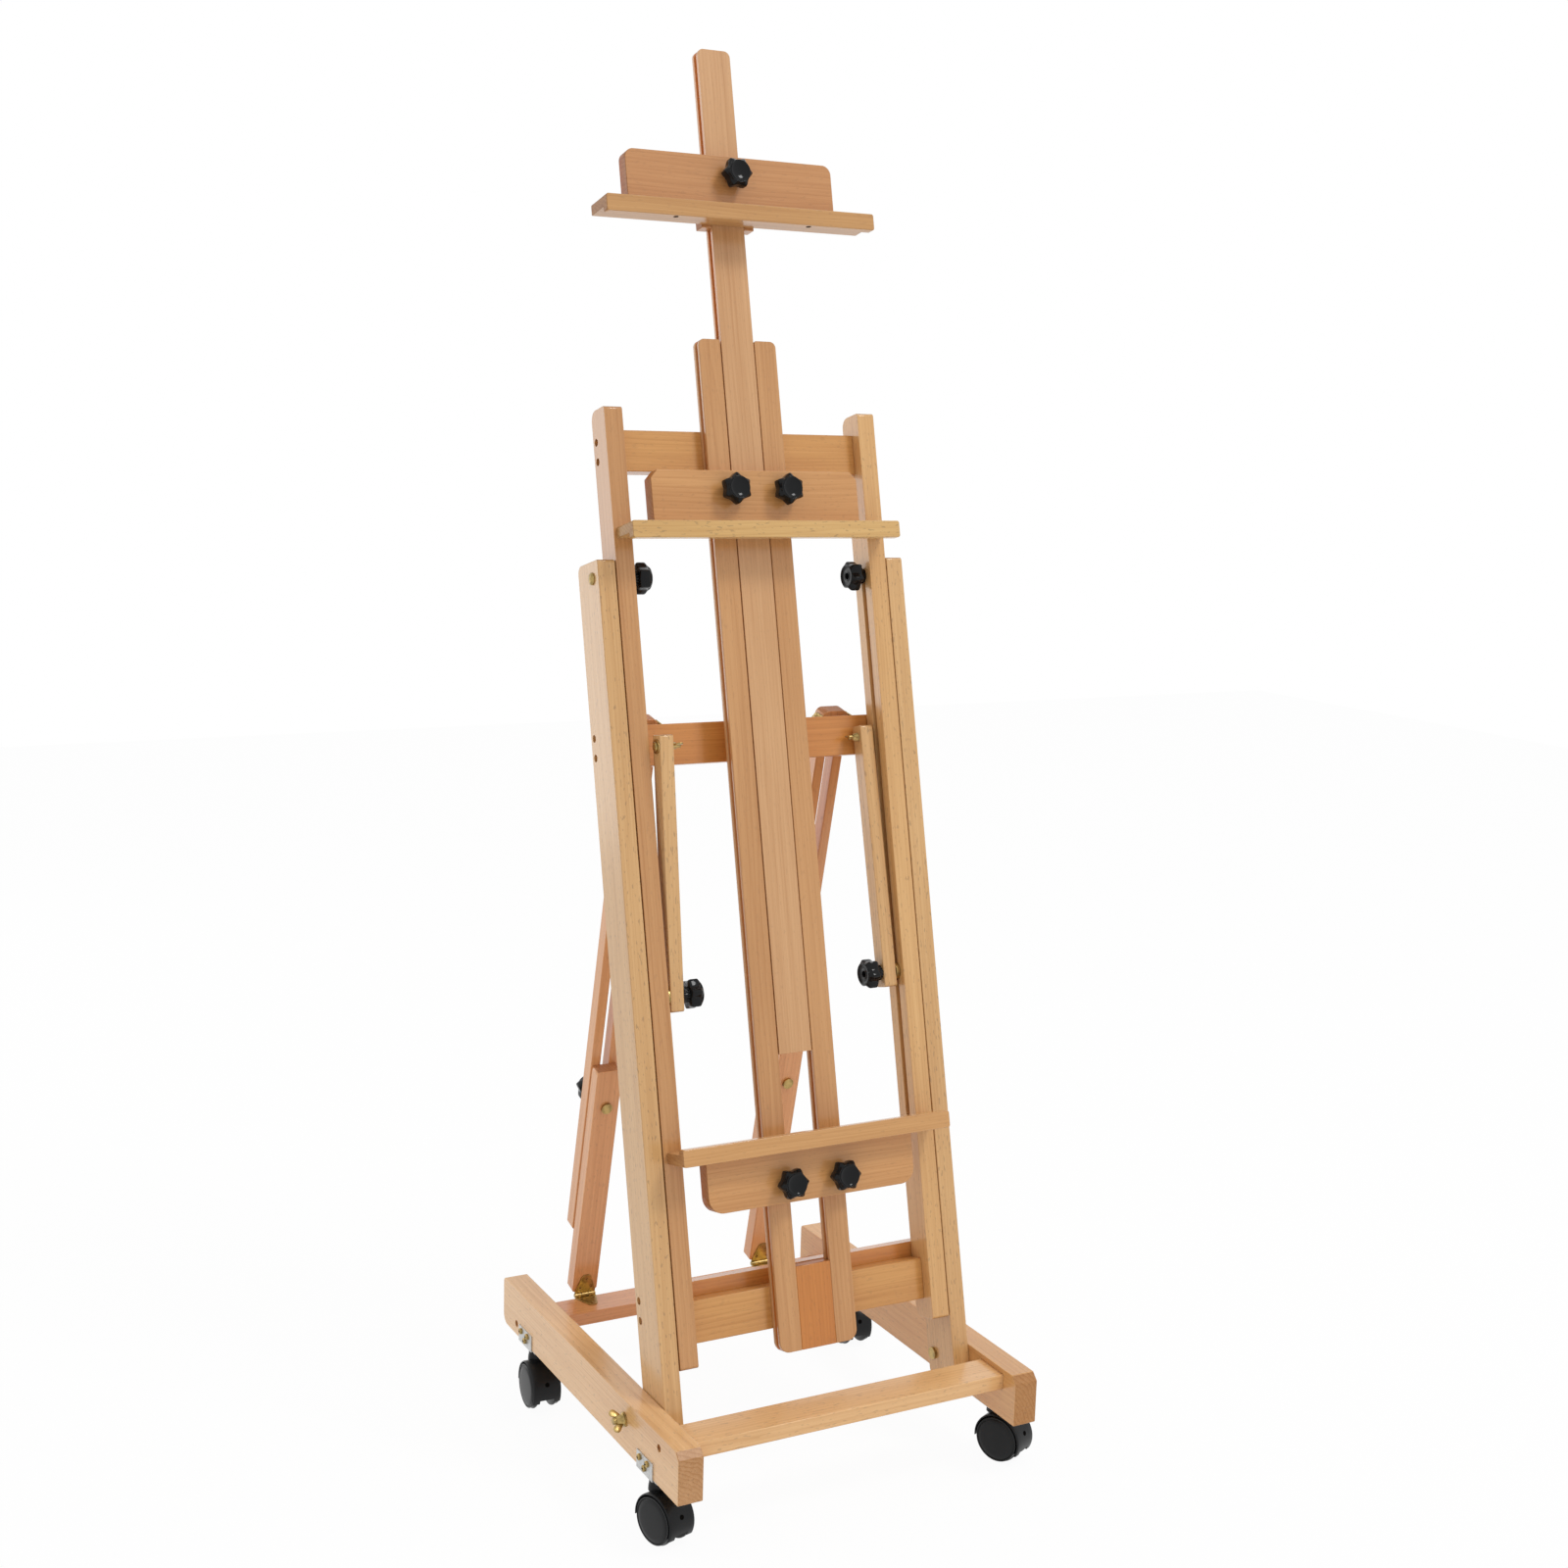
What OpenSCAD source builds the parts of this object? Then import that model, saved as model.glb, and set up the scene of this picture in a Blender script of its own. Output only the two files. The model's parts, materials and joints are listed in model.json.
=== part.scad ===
// Convertible studio easel: a caster base, a tilting outer frame, an inner frame with
// rails and a mast, three canvas holders and a pair of telescoping rear legs.
// +X is the easel's right, +Y its back, +Z up; the origin is on the floor under its middle.

/* [Base] */
// Width across the two runners
base_w = 492; // [440:2:560]
// Length of a runner
runner_l = 554; // [500:2:620]
// Thickness of a runner
runner_t = 32; // [28:1:40]
// Height of a runner
runner_h = 64; // [56:1:80]
// Height of the runners' underside above the floor
runner_lift = 74; // [69:0.5:78]
// Chamfer at the top of a runner's front end
runner_chamfer = 9; // [4:1:14]
// Radius at the bottom of a runner's rear end
runner_heel_r = 14; // [6:1:20]
// Middle of the front cross bar, behind the front end of the runners
front_bar_in = 53; // [40:1:70]
// Width of the front cross bar
front_bar_w = 50; // [40:1:60]
// Thickness of the front cross bar
front_bar_t = 19; // [14:1:24]
// Drop of the front cross bar below the runners' top
front_bar_drop = 7; // [3:1:14]
// Middle of the rear cross bar, ahead of the rear end of the runners
rear_bar_in = 49; // [44:1:70]
// Width of the rear cross bar
rear_bar_w = 49; // [44:1:60]
// Thickness of the rear cross bar
rear_bar_t = 18; // [14:1:24]
// Height of the rear cross bar above the runners' underside
rear_bar_rise = 7; // [3:1:14]
// Depth that the cross bars are let into the runners
bar_let_in = 10; // [6:1:14]

/* [Casters] */
// Wheel radius
wheel_r = 30; // [26:0.5:31]
// Width of one wheel
wheel_w = 9.5; // [8:0.5:12]
// Gap between the two wheels of a caster
wheel_gap = 21; // [18:0.5:24]
// Distance from the swivel axis to the axle
caster_trail = 14; // [10:0.5:16]
// Distance of the swivel axis outside a runner's middle
caster_out = 6.8; // [0:0.2:8]
// Thickness of the hood's shell
hood_t = 1.8; // [1.4:0.2:2.4]
// Radius of the swivel stem
stem_r = 4; // [3:0.5:5]
// Length of the swivel stem inside the runner
stem_l = 28; // [20:1:36]
// Distance from the runners' front end to the front casters' swivel axis
front_caster_in = 74.5; // [60:0.5:90]
// Distance from the runners' rear end to the rear casters' swivel axis
rear_caster_in = 97.5; // [90:0.5:120]
// Turn of the front left caster about its stem
front_left_turn = 15.5; // [-30:0.5:30]
// Turn of the front right caster about its stem
front_right_turn = 25.5; // [-30:0.5:30]
// Turn of the rear casters about their stems
rear_caster_turn = -2.5; // [-20:0.5:20]
// Length of a caster plate's upright flange
plate_l = 44; // [36:1:50]
// Height of a caster plate's upright flange
plate_h = 20.5; // [18:0.5:26]
// Thickness of a caster plate
plate_t = 1.6; // [1:0.2:2]
// Distance from the swivel axis back to the middle of the upright flange
plate_back = 14.5; // [12:0.5:20]

/* [Outer frame] */
// Backward lean of both frames, in degrees
lean = 13.4; // [9:0.1:17]
// Distance from the base's front end back to the frame pivot
pivot_in = 151; // [140:1:165]
// Height of the frame pivot above the runners' underside
pivot_rise = 39; // [30:1:46]
// Gap between an outer post and its runner
runner_gap = 0.5; // [0.4:0.1:1]
// Thickness of an outer post, side to side
outer_t = 23; // [20:1:26]
// Depth of an outer post, front to back
outer_d = 62; // [56:1:70]
// Distance from an outer post's front face back to the pivot
pivot_back = 48; // [40:1:52]
// Length of an outer post above the pivot
outer_l = 1028; // [980:2:1080]
// Length of an outer post below the pivot
outer_foot = 32; // [24:1:34]
// Height of the bars in both frames
bar_h = 51; // [40:1:60]
// Thickness of the outer frame's bars
outer_bar_t = 20; // [16:1:22]
// Distance from the pivot up to the middle of the outer upper bar
outer_upper_w = 804; // [790:1:820]
// Distance from the pivot up to the middle of the outer lower bar
outer_lower_w = 122.5; // [110:0.5:140]

/* [Inner frame] */
// Gap between an inner post and its outer post
post_gap = 1.6; // [1:0.1:2.4]
// Thickness of an inner post, side to side
inner_t = 24; // [20:1:26]
// Depth of an inner post, front to back
inner_d = 40; // [36:1:44]
// Height of the inner posts' lower end above the pivot
inner_low = 54; // [44:1:64]
// Length of an inner post
inner_l = 1161; // [1100:1:1220]
// Height of the tilt bolts above the pivot
tilt_w = 1007; // [990:1:1014]
// Distance from the front face back to the middle of the slots
slot_back = 19.5; // [16:0.5:22]
// Width of the slots
slot_w = 8.6; // [8.4:0.1:10]
// Height of the slots' lower end above the pivot
slot_low = 316; // [300:2:330]
// Width of the recess behind a slot that the bolt heads run in
slot_recess_w = 16.4; // [15.6:0.2:18]
// Depth of that recess
slot_recess_d = 7; // [6:0.5:9]
// Thickness of the inner frame's bars
inner_bar_t = 23; // [18:0.5:23]
// Height of the middle of the inner upper bar above the pivot
inner_upper_w = 1164; // [1150:1:1172]
// Height of the middle of the inner lower bar above the pivot
inner_lower_w = 104.5; // [95:0.5:115]

/* [Rails and mast] */
// Width of the mast
mast_w = 45; // [40:1:50]
// Gap between the mast and a rail
mast_gap = 1.5; // [0.6:0.1:2]
// Width of a rail
rail_w = 30; // [26:1:36]
// Thickness of the rails
rail_t = 17; // [16:0.5:17]
// Height of the rails' lower end above the pivot
rail_low = 50; // [40:1:56]
// Length of a rail
rail_l = 1253; // [1220:1:1290]
// Depth of the grooves in a rail's edges
groove_d = 4; // [3:0.5:5]
// Width of the grooves in a rail's edges
groove_w = 6; // [5:0.5:7]
// Thickness of the lip in front of the grooves
lip_t = 5.5; // [4:0.5:6]
// Height of the foot block between the rails
foot_block_h = 102; // [80:2:130]
// Height of the mast's lower end above the pivot
mast_low = 412; // [380:2:440]
// Length of the mast
mast_l = 1260; // [1220:2:1300]
// Length of the guide tongues at the mast's lower end
tongue_l = 90; // [60:2:110]

/* [Holders] */
// Thickness of the holders' plates
holder_t = 20; // [16:1:24]
// Length of the holders' plates
holder_l = 287; // [260:1:300]
// Length of the ledges
ledge_l = 370; // [340:2:400]
// Depth of the ledges, front to back
ledge_d = 48; // [40:1:54]
// Thickness of the ledges
ledge_t = 21; // [16:1:24]
// Thickness of the lip along a ledge's front
lip_d = 12; // [8:1:16]
// Depth of the rabbet behind a ledge's lip, which holds a canvas's edge
rabbet_h = 7; // [4:0.5:9]
// Height of the top holder's plate
top_plate_h = 68; // [62:1:74]
// Height of the middle holder's plate
middle_plate_h = 67; // [62:1:74]
// Height of the bottom holder's plate
bottom_plate_h = 65; // [62:1:74]
// Height of the underside of the top holder above the pivot
top_holder_w = 1440; // [1400:2:1460]
// Height of the underside of the middle holder above the pivot
middle_holder_w = 1046; // [1040:2:1056]
// Height of the top of the bottom holder above the pivot
bottom_holder_w = 320; // [300:2:340]
// Width of the guide cheeks behind the plates
cheek_w = 13.6; // [12:0.2:16]
// Distance of a clamping knob from the middle on the two rail holders
rail_knob_x = 36.5; // [34:0.5:40]

/* [Side arms] */
// Thickness of an arm, side to side
arm_t = 18; // [15:1:20]
// Depth of an arm, front to back
arm_d = 21; // [18:1:24]
// Length of an arm
arm_l = 336; // [320:1:350]
// Distance from an arm's lower end to its slot bolt
arm_bolt_up = 19; // [14:1:24]
// Distance from an arm's upper end to its end bolt
arm_bolt_down = 14; // [12:1:20]
// Height of the arms' slot bolts above the pivot
arm_w = 497; // [480:1:500]
// Space between an arm and its inner post
arm_space = 6; // [5.6:0.2:8]
// Forward swing of the left arm from the post's line, in degrees
left_arm_swing = 5.3; // [0:0.1:10]
// Forward swing of the right arm from the post's line, in degrees
right_arm_swing = -1.4; // [-1.6:0.1:5]

/* [Rear legs] */
// Distance of a rear leg's middle from the easel's middle
leg_x = 136.5; // [125:0.5:145]
// Width of a lower board
lower_leg_w = 36; // [30:1:40]
// Width of an upper board
upper_leg_w = 39; // [34:1:44]
// Thickness of the leg boards
leg_t = 20; // [16:1:22]
// Length of a lower board
lower_leg_l = 345; // [320:1:380]
// Length of an upper board
upper_leg_l = 744; // [700:2:760]
// Height of the clamping bolt on a lower board
leg_bolt_up = 294; // [270:1:310]
// Width of the slot in an upper board
leg_slot_w = 12; // [9:0.5:14]
// Distance from the outer frame's back to the legs' upper pivot
ear_reach = 22; // [20:1:28]
// Play of the upper pivot bolt in its leg
leg_pivot_play = 2; // [1.9:0.1:3]

/* [Fasteners] */
// Radius of the clamping and pivot bolts
bolt_r = 4; // [3:0.1:4]
// Radius of a bolt's domed head
bolt_head_r = 7.6; // [6:0.2:7.6]
// Height of a bolt's head
bolt_head_h = 3.6; // [3:0.2:4.4]
// Radius of the small bolts on the arms and the legs' tops
small_bolt_r = 3; // [2.5:0.1:3.2]
// Radius of the joint screws
screw_r = 2.4; // [2:0.1:2.6]
// Radius of a joint screw's head
screw_head_r = 4.7; // [3.6:0.1:4.8]
// Length of the joint screws
screw_l = 48; // [40:1:52]
// Radius of a star knob
knob_r = 19.5; // [16:0.5:20]
// Height of a star knob
knob_h = 25; // [20:1:26]
// Span of a wing nut
wing_span = 30; // [24:1:32]
// Radial clearance of what turns or slides on a bolt
run_clear = 0.1; // [0.05:0.01:0.1]
// Clearance between pieces that slide or turn past each other
slide_clear = 0.3; // [0.2:0.05:0.4]

/* [Hidden] */
$fn = 48;

// base
half_w = base_w / 2;
runner_in_x = half_w - runner_t;
runner_top = runner_lift + runner_h;
front_bar_y = -runner_l / 2 + front_bar_in;
front_bar_z = runner_top - front_bar_drop - front_bar_t;
rear_bar_y = runner_l / 2 - rear_bar_in;
rear_bar_z = runner_lift + rear_bar_rise;
screw_recess = 5;
screw_head_h = 3;
screw_bite = 0.05;
plate_screw_r = 1.5;
plate_screw_head_r = 4;
plate_screw_head_h = 2;
plate_screw_l = 8;
plate_screws = [[13, 14.3], [-8.4, 15.2], [-1, 6.5]];

// casters
caster_x = half_w - runner_t / 2 + caster_out;
front_caster_y = -runner_l / 2 + front_caster_in;
rear_caster_y = runner_l / 2 - rear_caster_in;
caster_head = runner_lift - plate_t;
hood_clear = 0.6;
hood_r = wheel_r + hood_clear + hood_t;
web_t = wheel_gap - 2 * hood_clear;
caster_w = wheel_gap + 2 * wheel_w;
axle_r = 3;
neck_r = 10;

// the frames' own space: origin on the pivot, +Z up along the posts, +Y to the back
pivot_y = -runner_l / 2 + pivot_in;
pivot_z = runner_lift + pivot_rise;
outer_out_x = runner_in_x - runner_gap;
outer_in_x = outer_out_x - outer_t;
front_y = -pivot_back;
outer_back_y = front_y + outer_d;
inner_out_x = outer_in_x - post_gap;
inner_in_x = inner_out_x - inner_t;
inner_back_y = front_y + inner_d;
slot_y = front_y + slot_back;
rail_back_y = front_y + rail_t;
rail_in_x = mast_w / 2 + mast_gap;
rail_out_x = rail_in_x + rail_w;
groove_y = front_y + lip_t;
screw_gap = 24;

// holders
holder_back_y = front_y - slide_clear;
holder_front_y = holder_back_y - holder_t;
cheek_end = 5;
cheek_drop = 3.5;
top_plate_w = top_holder_w + ledge_t;
middle_plate_w = middle_holder_w + ledge_t;
bottom_plate_w = bottom_holder_w - ledge_t - bottom_plate_h;
top_knob_w = top_plate_w + top_plate_h * 0.62;
middle_knob_w = middle_plate_w + middle_plate_h * 0.62;
bottom_knob_w = bottom_plate_w + bottom_plate_h * 0.38;

// arms
arm_out_x = inner_in_x - arm_space;
arm_in_x = arm_out_x - arm_t;
knob_bore = 16;
washer_r = 9;
washer_t = 1.2;

// rear legs: the legs' own space has its origin on the hinge pin and +Z up along the boards
hinge_knuckle_r = 3;
hinge_leaf_t = 1.5;
hinge_w = 30;
hinge_tip_w = 14;
bar_leaf_l = 32;
leg_leaf_l = 31;
hinge_pin_r = 1.2;
hinge_y = rear_bar_y + rear_bar_w / 2 + 2;
hinge_z = rear_bar_z + rear_bar_t + hinge_knuckle_r;
lower_leg_y = hinge_leaf_t + 0.1;
upper_leg_y = lower_leg_y + leg_t + slide_clear;
lower_leg_z = hinge_knuckle_r + 2;
ear_t = 2;
ear_r = 9;
ear_gap = 0.6;
ear_y = outer_back_y + ear_reach;
ear_w = outer_upper_w + bar_h / 2;
ear_world_y = pivot_y + ear_w * sin(lean) + ear_y * cos(lean);
ear_world_z = pivot_z + ear_w * cos(lean) - ear_y * sin(lean);
leg_pivot_y = upper_leg_y + leg_t / 2;
leg_reach = norm([ear_world_y - hinge_y, ear_world_z - hinge_z]);
leg_pivot_z = sqrt(leg_reach * leg_reach - leg_pivot_y * leg_pivot_y);
leg_lean = atan2(hinge_y - ear_world_y, ear_world_z - hinge_z) + atan2(leg_pivot_y, leg_pivot_z);
leg_top = 14;
leg_slot_end = 60;
leg_slot_foot = 22;

wood = "burlywood";
steel = "silver";
brass = "goldenrod";
black = "#26262a";

// a corner to cut away, with its round of radius r towards +X and +Y
module corner_bite(r) {
    difference() {
        translate([-1, -1]) square(r + 1);
        translate([r, r]) circle(r);
    }
}

// a w by h plate with its lower left corner on the origin; r lists the radii of its
// lower left, lower right, upper right and upper left corners
module round_plate(w, h, r) {
    difference() {
        square([w, h]);
        if (r[0] > 0) corner_bite(r[0]);
        if (r[1] > 0) translate([w, 0]) mirror([1, 0]) corner_bite(r[1]);
        if (r[2] > 0) translate([w, h]) rotate(180) corner_bite(r[2]);
        if (r[3] > 0) translate([0, h]) mirror([0, 1]) corner_bite(r[3]);
    }
}

// a side outline in Y and Z, given thickness from x0 to x1
module from_side(x0, x1) {
    translate([x0, 0, 0]) rotate([90, 0, 90]) linear_extrude(x1 - x0) children();
}

// a front outline in X and Z, given thickness from y0 to y1
module from_front(y0, y1) {
    translate([0, y1, 0]) rotate([90, 0, 0]) linear_extrude(y1 - y0) children();
}

module box(low, high) {
    translate(low) cube(high - low);
}

// a round bar along X from x0 to x1
module rod_x(r, x0, x1, y = 0, z = 0) {
    translate([x0, y, z]) rotate([0, 90, 0]) cylinder(r = r, h = x1 - x0);
}

// a round bar along Y from y0 to y1
module rod_y(r, y0, y1, x = 0, z = 0) {
    translate([x, y1, z]) rotate([90, 0, 0]) cylinder(r = r, h = y1 - y0);
}

// what is modelled on the right, put on the left too
module left() {
    mirror([1, 0, 0]) children();
}

module both() {
    children();
    left() children();
}

// from the frames' own space to the easel's
module leaned() {
    translate([0, pivot_y, pivot_z]) rotate([-lean, 0, 0]) children();
}

// from the rear legs' own space to the easel's
module leg_space() {
    translate([0, hinge_y, hinge_z]) rotate([leg_lean, 0, 0]) children();
}

// ---- base ----

module bar_screw_holes(y, z) {
    rod_x(screw_head_r + screw_bite, half_w - screw_recess - screw_head_h, half_w + 1, y, z);
    rod_x(screw_r + screw_bite, half_w - screw_recess - screw_l, half_w, y, z);
}

module bar_screw(y, z) {
    rod_x(screw_head_r, half_w - screw_recess - screw_head_h, half_w - screw_recess, y, z);
    rod_x(screw_r, half_w - screw_recess - screw_l, half_w - screw_recess, y, z);
}

module front_bar_box(x) {
    box([-x, front_bar_y - front_bar_w / 2, front_bar_z],
        [x, front_bar_y + front_bar_w / 2, front_bar_z + front_bar_t]);
}

module rear_bar_box(x) {
    box([-x, rear_bar_y - rear_bar_w / 2, rear_bar_z],
        [x, rear_bar_y + rear_bar_w / 2, rear_bar_z + rear_bar_t]);
}

module at_plate_screws() {
    for (y = [front_caster_y, rear_caster_y])
        for (p = plate_screws)
            translate([half_w, y + plate_back + p[0], runner_lift + p[1]]) rotate([0, 90, 0]) children();
}

module runner() {
    color(wood) difference() {
        from_side(runner_in_x, half_w) difference() {
            translate([-runner_l / 2, runner_lift])
                round_plate(runner_l, runner_h, [2, runner_heel_r, 6, 0]);
            translate([-runner_l / 2, runner_top]) rotate(45)
                square(runner_chamfer * sqrt(2), center = true);
        }
        front_bar_box(runner_in_x + bar_let_in);
        rear_bar_box(runner_in_x + bar_let_in);
        bar_screw_holes(front_bar_y, front_bar_z + front_bar_t / 2);
        bar_screw_holes(rear_bar_y, rear_bar_z + rear_bar_t / 2);
        rod_x(bolt_r + run_clear, runner_in_x - 1, half_w + 1, pivot_y, pivot_z);
        for (y = [front_caster_y, rear_caster_y])
            translate([caster_x, y, runner_lift - 1]) cylinder(r = stem_r + run_clear, h = stem_l + 3);
        at_plate_screws()
            translate([0, 0, -plate_screw_l]) cylinder(r = plate_screw_r + screw_bite, h = plate_screw_l + 1);
    }
}

module right_runner() runner();
module left_runner() left() runner();

module front_cross_bar() {
    color(wood) difference() {
        front_bar_box(runner_in_x + bar_let_in);
        both() bar_screw_holes(front_bar_y, front_bar_z + front_bar_t / 2);
    }
}

module rear_cross_bar() {
    color(wood) difference() {
        rear_bar_box(runner_in_x + bar_let_in);
        both() bar_screw_holes(rear_bar_y, rear_bar_z + rear_bar_t / 2);
    }
}

// the base's screws and the fixed leaves and pins of the rear legs' hinges
module base_fittings() {
    color(brass) both() {
        bar_screw(front_bar_y, front_bar_z + front_bar_t / 2);
        bar_screw(rear_bar_y, rear_bar_z + rear_bar_t / 2);
        base_hinge_leaf();
        at_plate_screws() {
            translate([0, 0, plate_t]) cylinder(r = plate_screw_head_r, h = plate_screw_head_h);
            translate([0, 0, -plate_screw_l]) cylinder(r = plate_screw_r, h = plate_screw_l + plate_t + 0.5);
        }
    }
}

module caster_plate(y) {
    difference() {
        union() {
            box([half_w, y + plate_back - plate_l / 2, caster_head],
                [half_w + plate_t, y + plate_back + plate_l / 2, runner_lift + plate_h]);
            box([runner_in_x + 2, y - neck_r - 6, caster_head],
                [half_w + plate_t, y + plate_back + plate_l / 2, runner_lift]);
        }
        translate([caster_x, y, caster_head - 1]) cylinder(r = stem_r + run_clear, h = plate_t + 2);
        box([half_w - 1, y - neck_r - 7, caster_head - 1],
            [half_w + plate_t + 1, y + plate_back - plate_l / 2, runner_lift + 1]);
    }
}

module caster_plates() {
    color(steel) both() difference() {
        union() {
            caster_plate(front_caster_y);
            caster_plate(rear_caster_y);
        }
        at_plate_screws() translate([0, 0, -1]) cylinder(r = plate_screw_r + screw_bite, h = plate_t + 2);
    }
}

// ---- casters, in their own space: origin under the swivel axis on the floor ----

module caster_hood() {
    wheel_room = wheel_r + hood_clear;
    color(black) difference() {
        union() {
            difference() {
                rod_x(hood_r, -caster_w / 2, caster_w / 2, -caster_trail, wheel_r);
                rod_x(wheel_room, -caster_w, -web_t / 2, -caster_trail, wheel_r);
                rod_x(wheel_room, web_t / 2, caster_w, -caster_trail, wheel_r);
                box([-caster_w, -hood_r * 3, -hood_r], [caster_w, hood_r * 2, wheel_r * 0.47]);
                box([-caster_w, -caster_trail, -1], [caster_w, hood_r * 2, wheel_r * 0.9]);
            }
            translate([0, 0, wheel_r]) cylinder(r = neck_r, h = caster_head - wheel_r - slide_clear);
            translate([0, 0, caster_head - slide_clear - 1]) cylinder(r = stem_r, h = stem_l);
        }
        rod_x(wheel_room, -caster_w, -web_t / 2, -caster_trail, wheel_r);
        rod_x(wheel_room, web_t / 2, caster_w, -caster_trail, wheel_r);
        rod_x(axle_r + run_clear, -caster_w, caster_w, -caster_trail, wheel_r);
    }
}

module caster_wheels() {
    color(black) {
        rod_x(wheel_r, wheel_gap / 2, caster_w / 2, -caster_trail, wheel_r);
        rod_x(wheel_r, -caster_w / 2, -wheel_gap / 2, -caster_trail, wheel_r);
        rod_x(axle_r, -wheel_gap / 2, wheel_gap / 2, -caster_trail, wheel_r);
    }
}

module at_caster(x, y, turn) {
    translate([x, y, 0]) rotate([0, 0, turn]) children();
}

module front_left_caster_hood() at_caster(-caster_x, front_caster_y, front_left_turn) caster_hood();
module front_left_caster_wheels() at_caster(-caster_x, front_caster_y, front_left_turn) caster_wheels();
module front_right_caster_hood() at_caster(caster_x, front_caster_y, front_right_turn) caster_hood();
module front_right_caster_wheels() at_caster(caster_x, front_caster_y, front_right_turn) caster_wheels();
module rear_left_caster_hood() at_caster(-caster_x, rear_caster_y, rear_caster_turn) caster_hood();
module rear_left_caster_wheels() at_caster(-caster_x, rear_caster_y, rear_caster_turn) caster_wheels();
module rear_right_caster_hood() at_caster(caster_x, rear_caster_y, rear_caster_turn) caster_hood();
module rear_right_caster_wheels() at_caster(caster_x, rear_caster_y, rear_caster_turn) caster_wheels();

// ---- outer frame, in the frames' space ----

// two joint screws through a post whose outer face is at x, for a bar in the middle of y and z
module joint_screws(x, y, z) {
    for (dz = [-screw_gap / 2, screw_gap / 2]) {
        rod_x(screw_head_r, x - screw_recess - screw_head_h, x - screw_recess, y, z + dz);
        rod_x(screw_r, x - screw_recess - screw_l, x - screw_recess, y, z + dz);
    }
}

module joint_screw_holes(x, y, z) {
    for (dz = [-screw_gap / 2, screw_gap / 2]) {
        rod_x(screw_head_r + screw_bite, x - screw_recess - screw_head_h, x + 1, y, z + dz);
        rod_x(screw_r + screw_bite, x - screw_recess - screw_l, x, y, z + dz);
    }
}

module outer_screw_places(holes) {
    for (w = [outer_upper_w, outer_lower_w])
        if (holes) joint_screw_holes(outer_out_x, outer_back_y - outer_bar_t / 2, w);
        else joint_screws(outer_out_x, outer_back_y - outer_bar_t / 2, w);
}

module outer_post() {
    color(wood) difference() {
        from_side(outer_in_x, outer_out_x) translate([front_y, -outer_foot])
            round_plate(outer_d, outer_l + outer_foot, [22, 13, 11, 4]);
        rod_x(bolt_r + screw_bite, outer_in_x - 1, outer_out_x + 1);
        rod_x(bolt_r + run_clear, outer_in_x - 1, outer_out_x + 1, slot_y, tilt_w);
        outer_screw_places(true);
    }
}

module right_outer_post() leaned() outer_post();
module left_outer_post() leaned() left() outer_post();

module outer_bar(w) {
    color(wood) leaned() difference() {
        box([-outer_in_x, outer_back_y - outer_bar_t, w - bar_h / 2],
            [outer_in_x, outer_back_y, w + bar_h / 2]);
        both() outer_screw_places(true);
    }
}

module outer_upper_bar() outer_bar(outer_upper_w);
module outer_lower_bar() outer_bar(outer_lower_w);

// one steel ear on the back of the upper bar, with its flange turned away from the leg
module leg_ear(side) {
    x = leg_x + side * (upper_leg_w / 2 + ear_gap);
    x_far = x + side * ear_t;
    x_flange = x + side * 14;
    difference() {
        union() {
            from_side(min(x, x_far), max(x, x_far)) {
                polygon([[outer_back_y, ear_w - 38], [outer_back_y, ear_w],
                         [ear_y - 2, ear_w + ear_r - 0.3], [ear_y - 2, ear_w - ear_r + 0.3]]);
                translate([ear_y, ear_w]) circle(ear_r);
            }
            box([min(x, x_flange), outer_back_y, ear_w - 38],
                [max(x, x_flange), outer_back_y + ear_t, ear_w]);
        }
        rod_x(small_bolt_r + screw_bite, leg_x - 60, leg_x + 60, ear_y, ear_w);
    }
}

module leg_pivot_bolt() {
    grip = upper_leg_w / 2 + ear_gap + ear_t;
    rod_x(small_bolt_r, leg_x - grip - 4, leg_x + grip, ear_y, ear_w);
    rod_x(small_bolt_r * 2, leg_x + grip, leg_x + grip + 3, ear_y, ear_w);
    difference() {
        rod_x(small_bolt_r * 1.9, leg_x - grip - 4, leg_x - grip, ear_y, ear_w);
        rod_x(small_bolt_r, leg_x - grip - 5, leg_x - grip + 1, ear_y, ear_w);
    }
}

module base_pivot_bolt() {
    rod_x(bolt_r, outer_in_x, half_w + 15);
    rod_x(bolt_head_r, outer_in_x - bolt_head_h, outer_in_x);
}

module outer_frame_fittings() {
    color(brass) leaned() both() {
        outer_screw_places(false);
        base_pivot_bolt();
        leg_ear(1);
        leg_ear(-1);
        leg_pivot_bolt();
    }
}

// a wing nut on a bolt along X: its seat is at x, its wings point away along dir
module wing_nut(x, dir, r, span, turn) {
    hub_r = r * 2;
    hub_h = r * 2.4;
    translate([x, 0, 0]) rotate([turn, 0, 0]) mirror([dir < 0 ? 1 : 0, 0, 0]) {
        rod_x(hub_r, 0, hub_h);
        from_front(-1.2, 1.2) for (s = [0, 1]) mirror([0, s])
            polygon([[0.8, 0], [hub_h - 1, 0], [hub_h + 6, span / 2 - 4], [hub_h + 5, span / 2],
                     [hub_h, span / 2], [2.5, hub_r + 1.5]]);
    }
}

module base_wing_nut() {
    x = half_w + slide_clear;
    color(brass) leaned() difference() {
        union() {
            rod_x(washer_r, x, x + washer_t);
            wing_nut(x + washer_t, 1, bolt_r, wing_span, 35);
        }
        rod_x(bolt_r + run_clear, half_w - 1, half_w + 40);
    }
}

module right_base_wing_nut() base_wing_nut();
module left_base_wing_nut() left() base_wing_nut();

// ---- star knobs: the seat is on the origin, the knob points along +Z ----

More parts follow.
